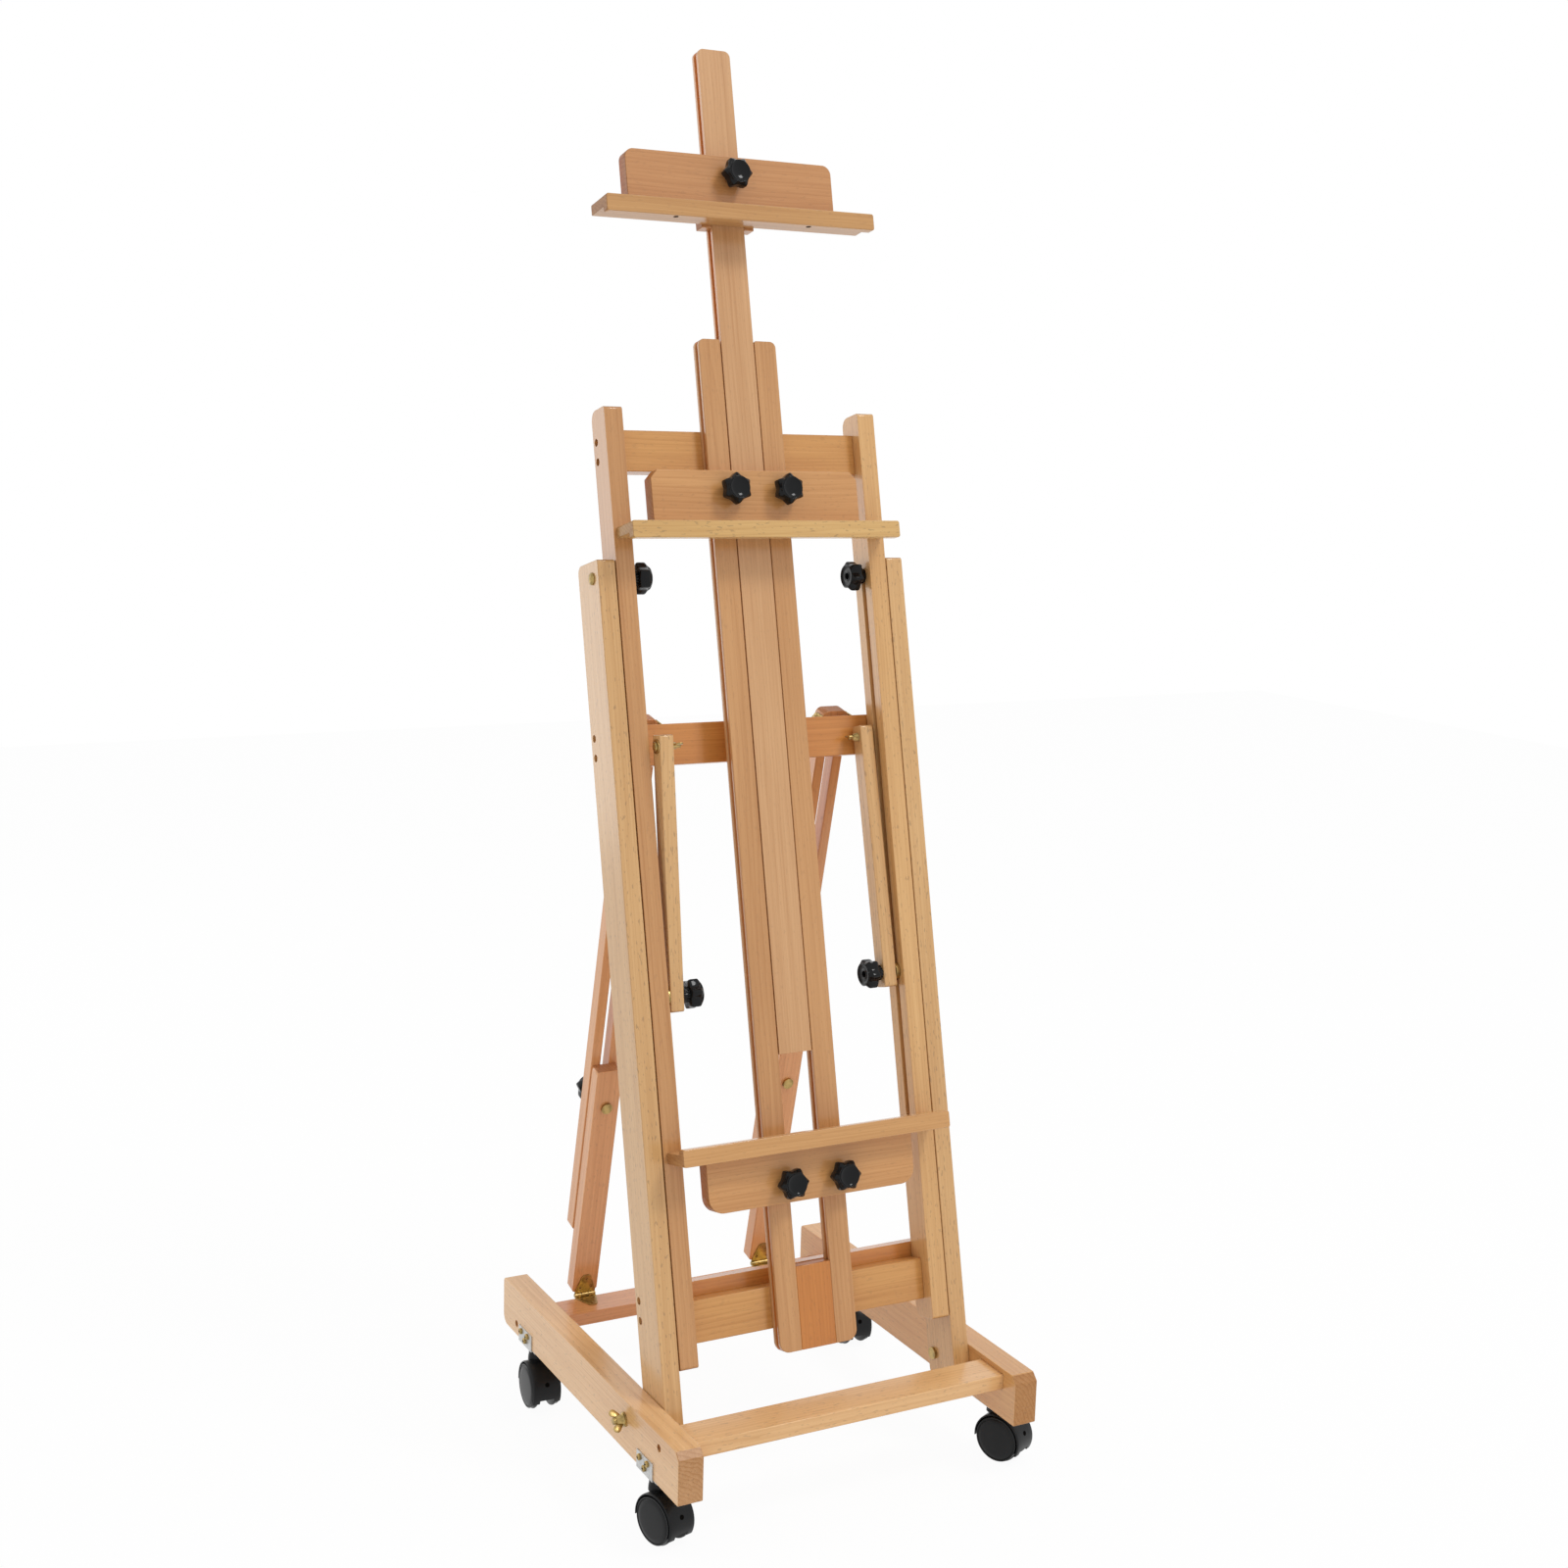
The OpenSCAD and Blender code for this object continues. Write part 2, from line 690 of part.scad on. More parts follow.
module knob_shape() {
    head_z = knob_h * 0.36;
    cylinder(r = knob_r * 0.5, h = head_z + 1);
    difference() {
        translate([0, 0, head_z]) cylinder(r = knob_r, h = knob_h - head_z);
        for (a = [0 : 60 : 300])
            rotate([0, 0, a + 30]) translate([knob_r * 1.22, 0, 0]) cylinder(r = knob_r * 0.42, h = knob_h + 1);
    }
}

// a knob screwed onto the end of a bolt
module bored_knob() {
    difference() {
        knob_shape();
        translate([0, 0, -1]) cylinder(r = bolt_r + run_clear, h = knob_bore + 1.5);
    }
}

// a knob with its own stud, which reaches l below the seat
module stud_knob(l) {
    knob_shape();
    translate([0, 0, -l]) cylinder(r = bolt_r, h = l + 1);
}

// ---- tilt bolts ----

module tilt_bolt() {
    rod_x(bolt_r, inner_in_x - slide_clear - knob_bore, outer_out_x + 1, slot_y, tilt_w);
    rod_x(bolt_head_r, outer_out_x + slide_clear, outer_out_x + slide_clear + bolt_head_h, slot_y, tilt_w);
}

module tilt_bolts() color(brass) leaned() both() tilt_bolt();

module tilt_knob() {
    color(black) translate([inner_in_x - slide_clear, slot_y, tilt_w]) rotate([0, -90, 0]) bored_knob();
}

module right_tilt_knob() leaned() tilt_knob();
module left_tilt_knob() leaned() left() tilt_knob();

// ---- inner frame ----

module inner_screw_places(holes) {
    for (w = [inner_upper_w, inner_lower_w])
        if (holes) joint_screw_holes(inner_out_x, inner_back_y - inner_bar_t * 0.4, w);
        else joint_screws(inner_out_x, inner_back_y - inner_bar_t * 0.4, w);
}

// the outline of a slot of width w between the heights z0 and z1 of its end centres
module slot_shape(w, y, z0, z1, x0, x1) {
    rod_x(w / 2, x0, x1, y, z0);
    rod_x(w / 2, x0, x1, y, z1);
    box([x0, y - w / 2, z0], [x1, y + w / 2, z1]);
}

module inner_post() {
    color(wood) difference() {
        from_side(inner_in_x, inner_out_x) translate([front_y, inner_low])
            round_plate(inner_d, inner_l, [4, 13, 13, 4]);
        slot_shape(slot_w, slot_y, slot_low, tilt_w, inner_in_x - 1, inner_out_x + 1);
        slot_shape(slot_recess_w, slot_y, slot_low, tilt_w, inner_out_x - slot_recess_d, inner_out_x + 1);
        inner_screw_places(true);
    }
}

module right_inner_post() leaned() inner_post();
module left_inner_post() leaned() left() inner_post();

rail_screw_l = 34;

module rail_screws(grow) {
    for (w = [inner_upper_w, inner_lower_w])
        rod_y(screw_r + grow, rail_back_y - 9, rail_back_y - 9 + rail_screw_l, rail_in_x + rail_w / 2, w);
}

module inner_bar(w) {
    color(wood) leaned() difference() {
        box([-inner_in_x, inner_back_y - inner_bar_t, w - bar_h / 2],
            [inner_in_x, inner_back_y, w + bar_h / 2]);
        both() inner_screw_places(true);
        both() rail_screws(screw_bite);
    }
}

module inner_upper_bar() inner_bar(inner_upper_w);
module inner_lower_bar() inner_bar(inner_lower_w);

module rail() {
    color(wood) difference() {
        from_front(front_y, rail_back_y) translate([rail_in_x, rail_low])
            round_plate(rail_w, rail_l, [0, 13, 8, 3]);
        box([rail_in_x - 1, groove_y, rail_low - 1],
            [rail_in_x + groove_d, groove_y + groove_w, rail_low + rail_l + 1]);
        box([rail_out_x - groove_d, groove_y, rail_low - 1],
            [rail_out_x + 1, groove_y + groove_w, rail_low + rail_l + 1]);
        rail_screws(screw_bite);
    }
}

module right_rail() leaned() rail();
module left_rail() leaned() left() rail();

module rail_foot_block() {
    color(wood) leaned()
        box([-rail_in_x, front_y, rail_low], [rail_in_x, rail_back_y, rail_low + foot_block_h]);
}

module inner_frame_screws() {
    color(brass) leaned() both() {
        inner_screw_places(false);
        rail_screws(0);
    }
}

// ---- side arms ----

// moves an arm's own space, with its origin on the slot bolt, to the frames'
module at_arm(swing) {
    translate([0, slot_y, arm_w]) rotate([swing, 0, 0]) children();
}

module arm() {
    end_bolt_z = arm_l - arm_bolt_up - arm_bolt_down;
    color(wood) difference() {
        from_side(arm_in_x, arm_out_x) translate([-arm_d / 2, -arm_bolt_up])
            round_plate(arm_d, arm_l, [3, 3, 3, 3]);
        rod_x(bolt_r + run_clear, arm_in_x - 1, arm_out_x + 1);
        rod_x(small_bolt_r + run_clear, arm_in_x - 1, arm_out_x + 1, 0, end_bolt_z);
    }
}

module right_arm() leaned() at_arm(right_arm_swing) arm();
module left_arm() leaned() left() at_arm(left_arm_swing) arm();

// slot bolt and spacer disc
module arm_slider() {
    head_x = inner_out_x - slot_recess_d + slide_clear;
    color(brass) {
        rod_x(bolt_r, arm_in_x - slide_clear - knob_bore, head_x + 1);
        rod_x(bolt_head_r, head_x, head_x + bolt_head_h);
        rod_x(12, arm_out_x + slide_clear, inner_in_x - slide_clear);
    }
}

module right_arm_slider() leaned() at_arm(0) arm_slider();
module left_arm_slider() leaned() left() at_arm(0) arm_slider();

module arm_knob() {
    color(black) translate([arm_in_x - slide_clear, 0, 0]) rotate([0, -90, 0]) bored_knob();
}

module right_arm_knob() leaned() at_arm(0) arm_knob();
module left_arm_knob() leaned() left() at_arm(0) arm_knob();

// end bolt with its head and washer outside and its wing nut inside
module arm_wing_nut() {
    end_bolt_z = arm_l - arm_bolt_up - arm_bolt_down;
    head_x = arm_out_x + slide_clear + washer_t;
    color(brass) translate([0, 0, end_bolt_z]) {
        rod_x(small_bolt_r, arm_in_x - 13, head_x);
        rod_x(small_bolt_r * 1.9, head_x, head_x + 3);
        rod_x(washer_r, arm_out_x + slide_clear, head_x);
        wing_nut(arm_in_x - slide_clear, -1, small_bolt_r, wing_span * 0.84, 80);
    }
}

module right_arm_wing_nut() leaned() at_arm(right_arm_swing) arm_wing_nut();
module left_arm_wing_nut() leaned() left() at_arm(left_arm_swing) arm_wing_nut();

// ---- mast and holders ----

module mast() {
    tongue_x = rail_in_x + groove_d - 1.2;
    color(wood) leaned() {
        difference() {
            from_front(front_y, rail_back_y - slide_clear) translate([-mast_w / 2, mast_low])
                round_plate(mast_w, mast_l, [0, 0, 8, 8]);
            both() box([mast_w / 2 - groove_d, groove_y, mast_low - 1],
                [mast_w / 2 + 1, groove_y + groove_w, mast_low + mast_l + 1]);
        }
        box([-tongue_x, groove_y + slide_clear, mast_low],
            [tongue_x, groove_y + groove_w - slide_clear, mast_low + tongue_l]);
    }
}

// a cheek that rides beside a rail from height w0 to w1, with its tongue in the rail's groove
module rail_cheek(w0, w1) {
    x = rail_out_x + slide_clear;
    box([x, holder_back_y, w0], [x + cheek_w, rail_back_y - 2 * slide_clear, w1]);
    box([x - groove_d + 0.6, groove_y + slide_clear, w0],
        [x + 1, groove_y + groove_w - slide_clear, w1]);
}

// a cheek that rides beside the mast, with its tongue in the mast's groove
module mast_cheek(w0, w1) {
    x = mast_w / 2 + slide_clear;
    box([x, holder_back_y, w0], [x + cheek_w, rail_back_y, w1]);
    box([x - groove_d, groove_y + slide_clear, w0],
        [x + 1, groove_y + groove_w - slide_clear, w1]);
}

module holder_plate(w, h) {
    from_front(holder_front_y, holder_back_y) translate([-holder_l / 2, w]) children();
}

module top_holder_plate() {
    color(wood) leaned() difference() {
        union() {
            holder_plate(top_plate_w, top_plate_h) round_plate(holder_l, top_plate_h, [0, 0, 12, 12]);
            both() mast_cheek(top_holder_w + cheek_drop, top_plate_w + top_plate_h - cheek_end);
        }
        rod_y(bolt_r + run_clear, holder_front_y - 1, holder_back_y + 0.1, 0, top_knob_w);
    }
}

module rail_holder_plate(w, h, knob_w) {
    color(wood) leaned() difference() {
        union() {
            holder_plate(w, h) children();
            both() rail_cheek(w + cheek_end, w + h - cheek_end);
        }
        both() rod_y(bolt_r + run_clear, holder_front_y - 1, holder_back_y + 0.1, rail_knob_x, knob_w);
    }
}

module middle_holder_plate() {
    rail_holder_plate(middle_plate_w, middle_plate_h, middle_knob_w)
        polygon([[0, 0], [holder_l, 0], [holder_l, middle_plate_h - 10], [holder_l - 9, middle_plate_h],
                 [9, middle_plate_h], [0, middle_plate_h - 10]]);
}

module bottom_holder_plate() {
    rail_holder_plate(bottom_plate_w, bottom_plate_h, bottom_knob_w)
        round_plate(holder_l, bottom_plate_h, [20, 20, 0, 0]);
}

// a ledge from height w up, with its rabbet's floor between heights r0 and r1
module ledge(w, r0, r1) {
    color(wood) leaned() difference() {
        from_front(holder_back_y - ledge_d, holder_back_y)
            translate([-ledge_l / 2, w]) round_plate(ledge_l, ledge_t, [3, 3, 3, 3]);
        box([-ledge_l, holder_back_y - ledge_d + lip_d, r0], [ledge_l, holder_back_y + 1, r1]);
    }
}

module top_holder_ledge() ledge(top_holder_w, top_holder_w - 1, top_holder_w + rabbet_h);
module middle_holder_ledge() ledge(middle_holder_w, middle_holder_w - 1, middle_holder_w + rabbet_h);
module bottom_holder_ledge() ledge(bottom_holder_w - ledge_t, bottom_holder_w - rabbet_h, bottom_holder_w + 1);

module holder_knob(x, w) {
    color(black) leaned() translate([x, holder_front_y - slide_clear, w]) rotate([90, 0, 0])
        stud_knob(holder_t + slide_clear);
}

module top_holder_knob() holder_knob(0, top_knob_w);
module middle_holder_left_knob() holder_knob(-rail_knob_x, middle_knob_w);
module middle_holder_right_knob() holder_knob(rail_knob_x, middle_knob_w);
module bottom_holder_left_knob() holder_knob(-rail_knob_x, bottom_knob_w);
module bottom_holder_right_knob() holder_knob(rail_knob_x, bottom_knob_w);

// ---- rear legs ----

// a hinge leaf with its root on the X axis, tapering as it reaches l along +Y
module leaf_shape(l) {
    root = hinge_w / 2;
    tip = hinge_tip_w / 2;
    difference() {
        polygon([[-root, 0], [root, 0], [root, 6], [tip, l - 3], [tip - 3, l],
                 [3 - tip, l], [-tip, l - 3], [-root, 6]]);
        for (x = [-8, 8]) translate([x, l * 0.36]) circle(1.6);
        translate([0, l * 0.8]) circle(1.6);
    }
}

module knuckle(x0, x1) {
    difference() {
        rod_x(hinge_knuckle_r, x0, x1);
        rod_x(hinge_pin_r + run_clear, x0 - 1, x1 + 1);
    }
}

// the middle third of a hinge's width belongs to the leg's leaf
module base_hinge_leaf() {
    third = hinge_w / 6;
    translate([leg_x, hinge_y, hinge_z]) {
        difference() {
            translate([0, 0, -hinge_knuckle_r]) linear_extrude(hinge_leaf_t) mirror([0, 1]) leaf_shape(bar_leaf_l);
            rod_x(hinge_knuckle_r + slide_clear, -third - slide_clear, third + slide_clear);
            rod_x(hinge_pin_r + run_clear, -hinge_w, hinge_w);
        }
        knuckle(-hinge_w / 2, -third - slide_clear);
        knuckle(third + slide_clear, hinge_w / 2);
        rod_x(hinge_pin_r, -hinge_w / 2, hinge_w / 2);
        for (x = [-hinge_w / 2, hinge_w / 2 - 1]) rod_x(hinge_knuckle_r - 0.5, x, x + 1);
    }
}

module lower_leg() {
    color(wood) leg_space() difference() {
        from_front(lower_leg_y, lower_leg_y + leg_t) translate([leg_x - lower_leg_w / 2, lower_leg_z])
            round_plate(lower_leg_w, lower_leg_l, [3, 3, 5, 5]);
        rod_y(bolt_r + screw_bite, lower_leg_y - 1, lower_leg_y + leg_t + 1, leg_x, leg_bolt_up);
    }
}

module right_lower_leg() lower_leg();
module left_lower_leg() left() lower_leg();

// hinge leaf on the front of a lower board, and its carriage bolt
module leg_fittings() {
    third = hinge_w / 6;
    color(brass) leg_space() {
        translate([leg_x, 0, 0]) {
            difference() {
                from_front(0, hinge_leaf_t) leaf_shape(leg_leaf_l);
                rod_x(hinge_knuckle_r + slide_clear, third, hinge_w);
                rod_x(hinge_knuckle_r + slide_clear, -hinge_w, -third);
                rod_x(hinge_pin_r + run_clear, -hinge_w, hinge_w);
            }
            knuckle(-third, third);
        }
        rod_y(bolt_r, lower_leg_y, upper_leg_y + leg_t + slide_clear + knob_bore, leg_x, leg_bolt_up);
        rod_y(bolt_head_r, lower_leg_y - bolt_head_h, lower_leg_y, leg_x, leg_bolt_up);
    }
}

module right_leg_fittings() leg_fittings();
module left_leg_fittings() left() leg_fittings();

module upper_leg() {
    top = leg_pivot_z + leg_top;
    slot_z0 = top - upper_leg_l + leg_slot_foot;
    slot_z1 = top - leg_slot_end;
    color(wood) leg_space() difference() {
        from_front(upper_leg_y, upper_leg_y + leg_t) translate([leg_x - upper_leg_w / 2, top - upper_leg_l])
            round_plate(upper_leg_w, upper_leg_l, [5, 5, 9, 9]);
        rod_x(small_bolt_r + leg_pivot_play, leg_x - 40, leg_x + 40, leg_pivot_y, leg_pivot_z);
        for (z = [slot_z0, slot_z1]) rod_y(leg_slot_w / 2, upper_leg_y - 1, upper_leg_y + leg_t + 1, leg_x, z);
        box([leg_x - leg_slot_w / 2, upper_leg_y - 1, slot_z0],
            [leg_x + leg_slot_w / 2, upper_leg_y + leg_t + 1, slot_z1]);
    }
}

module right_upper_leg() upper_leg();
module left_upper_leg() left() upper_leg();

module leg_knob() {
    color(black) leg_space() translate([leg_x, upper_leg_y + leg_t + slide_clear, leg_bolt_up])
        rotate([-90, 0, 0]) bored_knob();
}

module right_leg_knob() leg_knob();
module left_leg_knob() left() leg_knob();

left_runner();
right_runner();
front_cross_bar();
rear_cross_bar();
base_fittings();
caster_plates();
front_left_caster_hood();
front_left_caster_wheels();
front_right_caster_hood();
front_right_caster_wheels();
rear_left_caster_hood();
rear_left_caster_wheels();
rear_right_caster_hood();
rear_right_caster_wheels();
left_outer_post();
right_outer_post();
outer_upper_bar();
outer_lower_bar();
outer_frame_fittings();
left_base_wing_nut();
right_base_wing_nut();
tilt_bolts();
left_tilt_knob();
right_tilt_knob();
left_inner_post();
right_inner_post();
inner_upper_bar();
inner_lower_bar();
left_rail();
right_rail();
rail_foot_block();
inner_frame_screws();
left_arm();
left_arm_slider();
left_arm_knob();
left_arm_wing_nut();
right_arm();
right_arm_slider();
right_arm_knob();
right_arm_wing_nut();
mast();
top_holder_plate();
top_holder_ledge();
top_holder_knob();
middle_holder_plate();
middle_holder_ledge();
middle_holder_left_knob();
middle_holder_right_knob();
bottom_holder_plate();
bottom_holder_ledge();
bottom_holder_left_knob();
bottom_holder_right_knob();
left_lower_leg();
right_lower_leg();
left_leg_fittings();
right_leg_fittings();
left_upper_leg();
right_upper_leg();
left_leg_knob();
right_leg_knob();
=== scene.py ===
"""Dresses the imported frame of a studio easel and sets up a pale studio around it."""

import json
import math

import bmesh
import bpy
from mathutils import Matrix, Vector


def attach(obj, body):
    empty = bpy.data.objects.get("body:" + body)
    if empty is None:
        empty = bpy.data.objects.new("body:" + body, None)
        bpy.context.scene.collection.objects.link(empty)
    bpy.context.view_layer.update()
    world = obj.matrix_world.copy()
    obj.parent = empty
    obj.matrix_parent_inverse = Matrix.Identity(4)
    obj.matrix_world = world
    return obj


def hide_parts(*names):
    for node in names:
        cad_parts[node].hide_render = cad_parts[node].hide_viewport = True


bl_info = {
    "name": "Studio Easel",
    "version": (1, 0, 0),
    "blender": (4, 5, 0),
    "location": "View3D > Sidebar > Easel",
    "description": "Dresses the packed frame of a studio easel and sets up its studio",
    "category": "Add Mesh",
}

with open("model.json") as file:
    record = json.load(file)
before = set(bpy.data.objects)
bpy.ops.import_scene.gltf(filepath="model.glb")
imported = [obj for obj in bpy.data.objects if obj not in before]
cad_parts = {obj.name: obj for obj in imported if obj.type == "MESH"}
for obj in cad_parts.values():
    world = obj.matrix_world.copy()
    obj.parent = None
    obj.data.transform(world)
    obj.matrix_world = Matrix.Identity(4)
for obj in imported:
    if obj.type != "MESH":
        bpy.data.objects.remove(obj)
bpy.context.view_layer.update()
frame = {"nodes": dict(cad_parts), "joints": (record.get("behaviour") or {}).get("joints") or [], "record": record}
JOINTS = {joint["name"]: joint for joint in frame["joints"]}
BODY_OF = {node: body for body, nodes in frame["record"]["behaviour"]["bodies"].items() for node in nodes}
EAST = Vector((1, 0, 0))
NORTH = Vector((0, 1, 0))
UP = Vector((0, 0, 1))
POST_UP = Vector(JOINTS["mast_height"]["axis"]).normalized()
POST_BACK = Vector(JOINTS["top_holder_knob_spin"]["axis"]).normalized()
LEG_UP = Vector(JOINTS["right_leg_extension"]["axis"]).normalized()
LEG_BACK = Vector(JOINTS["right_leg_knob_spin"]["axis"]).normalized()

# the bought parts, in millimetres
KNOB_RISE = 25.0
KNOB_LOBES = 6
KNOB_NECK_R = 9.6
KNOB_NECK_RIBS = 16
KNOB_RIB_DEPTH = 0.035
KNOB_DISH_R = 14.0
KNOB_VALLEY = 0.20
BOLT_R = 4.0
ARM_BOLT_R = 3.0
TILT_HEAD_R = 7.6
TILT_HEAD_RISE = 3.6
ARM_HEAD_R = 5.7
ARM_HEAD_RISE = 3.0
ARM_WING_TIP = 13.2
WING_THICKNESS = 1.9
WASHER_R = 9.0
WASHER_RISE = 1.2
AXLE_R = 3.0
WHEEL_R = 30.0
WHEEL_OUT = 20.0
WHEEL_IN = 10.5
HOOD_IN_R = 30.7
HOOD_R = 32.4
HOOD_SIDE_IN = 9.5
HOOD_HOLE_R = 3.0
HOOD_HOLE_RISE = math.radians(20)
SHORTEST_SCREW = 9.5
WIDEST_SCREW = 8.5
SCREW_SLOT_DEPTH = 1.2

# the dark discs of painted shade at the pin holes under the top ledge, in millimetres from its middle and from its
# front
PIN_HOLE_X = 92.0
PIN_HOLE_INSET = 6.0
PIN_HOLE_R = 3.4

# the boards, in metres: the rims of smaller holes stay sharp, rounded faces are narrower than this,
# and what lies deeper than a groove's lip takes the painted shade of a recess
SMALL_HOLE = 0.022
ROUND_WIDTH = 0.005
GROOVE_LIP = 0.0015
METAL_EDGE = 0.00025

# the wood: growth lines in a metre, and how squarely a face cuts the grain where it counts as end grain
GROWTH_LINES = 215.0
SQUARE_CUT = 0.6

# tints of the boards, each with how strongly its flecks show
DEEP = (0.91, 0.88, 0.83, 0.3)
PALE = (1.06, 1.20, 1.24, 1.0)
SANDY = (1.10, 1.22, 1.20, 0.8)
BLEACHED = (1.27, 1.46, 1.62, 0.7)
WARM = (1.08, 1.10, 0.98, 0.6)
PINK = (0.99, 1.05, 1.18, 0.3)
ORANGE = (1.02, 0.97, 0.71, 0.35)
RUSTY = (1.02, 0.80, 0.475, 0.35)
TAN = (0.92, 0.64, 0.27, 0.35)
ROSY = (1.20, 1.12, 1.15, 0.4)
REDDISH = (1.12, 0.95, 0.90, 0.5)
HONEY = (0.99, 0.99, 0.87, 0.35)
STRAW = (1.05, 1.23, 1.10, 1.0)
DARK_HONEY = (0.88, 0.88, 0.73, 0.35)
CHESTNUT = (0.88, 0.79, 0.70, 0.3)
BROWN = (0.98, 0.93, 0.81, 0.4)

# what a tint is multiplied by for painted shade in grooves and holes, and on end grain
RECESS_SHADE = (1.05, 0.70, 0.38)
LEDGE_RECESS_SHADE = (0.88, 0.84, 0.80)
END_GRAIN = (0.69, 0.63, 0.66)

FLECK = (0.30, 0.155, 0.07)
WHITE = (1.0, 1.0, 1.0)

# the lamps, in metres: where each stands, what it looks at, and its width and height
KEY_LAMP = ((2.55, -3.4, 6.8), (0, 0, 0.9), (1.7, 1.7))
FILL_LAMP = ((-1.75, 3.2, 1.4), (0, 0, 1.2), (1.7, 2.7))


# ---- sizes and colours that a user would change ----


class EaselWoodSettings(bpy.types.PropertyGroup):
    """Finish of the boards."""

    edge_round: bpy.props.FloatProperty(
        name="Edge round",
        description="Radius sanded onto the boards' edges",
        default=0.0009,
        min=0.0003,
        max=0.003,
        unit="LENGTH",
    )
    light_wood: bpy.props.FloatVectorProperty(
        name="Light wood",
        description="Colour of the palest wood between the growth lines",
        default=(0.67, 0.357, 0.148),
        subtype="COLOR",
        min=0.0,
        max=1.0,
    )
    dark_wood: bpy.props.FloatVectorProperty(
        name="Dark wood",
        description="Colour of the wood along the growth lines",
        default=(0.51, 0.235, 0.080),
        subtype="COLOR",
        min=0.0,
        max=1.0,
    )
    lacquer: bpy.props.FloatProperty(
        name="Lacquer",
        description="How much clear lacquer shows on the wood",
        default=1.0,
        min=0.0,
        max=1.0,
        subtype="FACTOR",
    )


class EaselHardwareSettings(bpy.types.PropertyGroup):
    """Finish of the knobs, casters and metal parts."""

    plastic: bpy.props.FloatVectorProperty(
        name="Plastic",
        description="Colour of the knobs and casters",
        default=(0.0055, 0.0058, 0.0063),
        subtype="COLOR",
        min=0.0,
        max=1.0,
    )
    brass: bpy.props.FloatVectorProperty(
        name="Brass",
        description="Colour of the brass bolts, screws and hinges",
        default=(0.52, 0.365, 0.14),
        subtype="COLOR",
        min=0.0,
        max=1.0,
    )
    zinc: bpy.props.FloatVectorProperty(
        name="Zinc",
        description="Colour of the plates beside the casters",
        default=(0.62, 0.62, 0.61),
        subtype="COLOR",
        min=0.0,
        max=1.0,
    )


class EaselStageSettings(bpy.types.PropertyGroup):
    """Floor, lamps and camera."""

    floor_colour: bpy.props.FloatVectorProperty(
        name="Floor",
        description="Colour of the floor",
        default=(0.93, 0.93, 0.93),
        subtype="COLOR",
        min=0.0,
        max=1.0,
    )
    floor_glow: bpy.props.FloatProperty(
        name="Floor glow",
        description="How far the floor is washed out to white in the picture",
        default=0.95,
        min=0.0,
        max=1.0,
        subtype="FACTOR",
    )
    key_power: bpy.props.FloatProperty(
        name="Key lamp",
        description="Power of the lamp high on the right, in watts",
        default=158.0,
        min=0.0,
    )
    fill_power: bpy.props.FloatProperty(
        name="Fill lamp",
        description="Power of the tall soft lamp behind on the left, in watts",
        default=13.5,
        min=0.0,
    )
    ambient: bpy.props.FloatProperty(
        name="Ambient",
        description="Strength of the light from all around",
        default=0.72,
        min=0.0,
        max=1.0,
    )
    camera_place: bpy.props.FloatVectorProperty(
        name="Camera",
        description="Where the camera stands",
        default=(-1.2235, -2.2843, 1.297),
        subtype="TRANSLATION",
        unit="LENGTH",
    )
    camera_azimuth: bpy.props.FloatProperty(
        name="Azimuth",
        description="Turn of the camera round the easel, from straight in front",
        default=math.radians(-28.46),
        subtype="ANGLE",
    )
    camera_elevation: bpy.props.FloatProperty(
        name="Elevation",
        description="How far the camera looks down",
        default=math.radians(9.8),
        subtype="ANGLE",
    )
    camera_roll: bpy.props.FloatProperty(
        name="Roll",
        description="Turn of the camera about its own line of sight",
        default=math.radians(1.64),
        subtype="ANGLE",
    )
    camera_lens: bpy.props.FloatProperty(
        name="Lens",
        description="Focal length of the camera in millimetres",
        default=48.6,
        min=10.0,
    )


# ---- shader sums ----


class Wire:
    """A shader socket that can stand in a sum."""

    def __init__(self, finish, socket):
        self.finish = finish
        self.socket = socket

    def combine(self, operation, first, second):
        """The outcome of one sum on two values."""
        return self.finish.add("ShaderNodeMath", {"operation": operation}, {0: first, 1: second})

    def __add__(self, other):
        return self.combine("ADD", self, other)

    def __radd__(self, other):
        return self.combine("ADD", other, self)

    def __sub__(self, other):
        return self.combine("SUBTRACT", self, other)

    def __rsub__(self, other):
        return self.combine("SUBTRACT", other, self)

    def __mul__(self, other):
        return self.combine("MULTIPLY", self, other)

    def __rmul__(self, other):
        return self.combine("MULTIPLY", other, self)

    def __pow__(self, other):
        return self.combine("POWER", self, other)


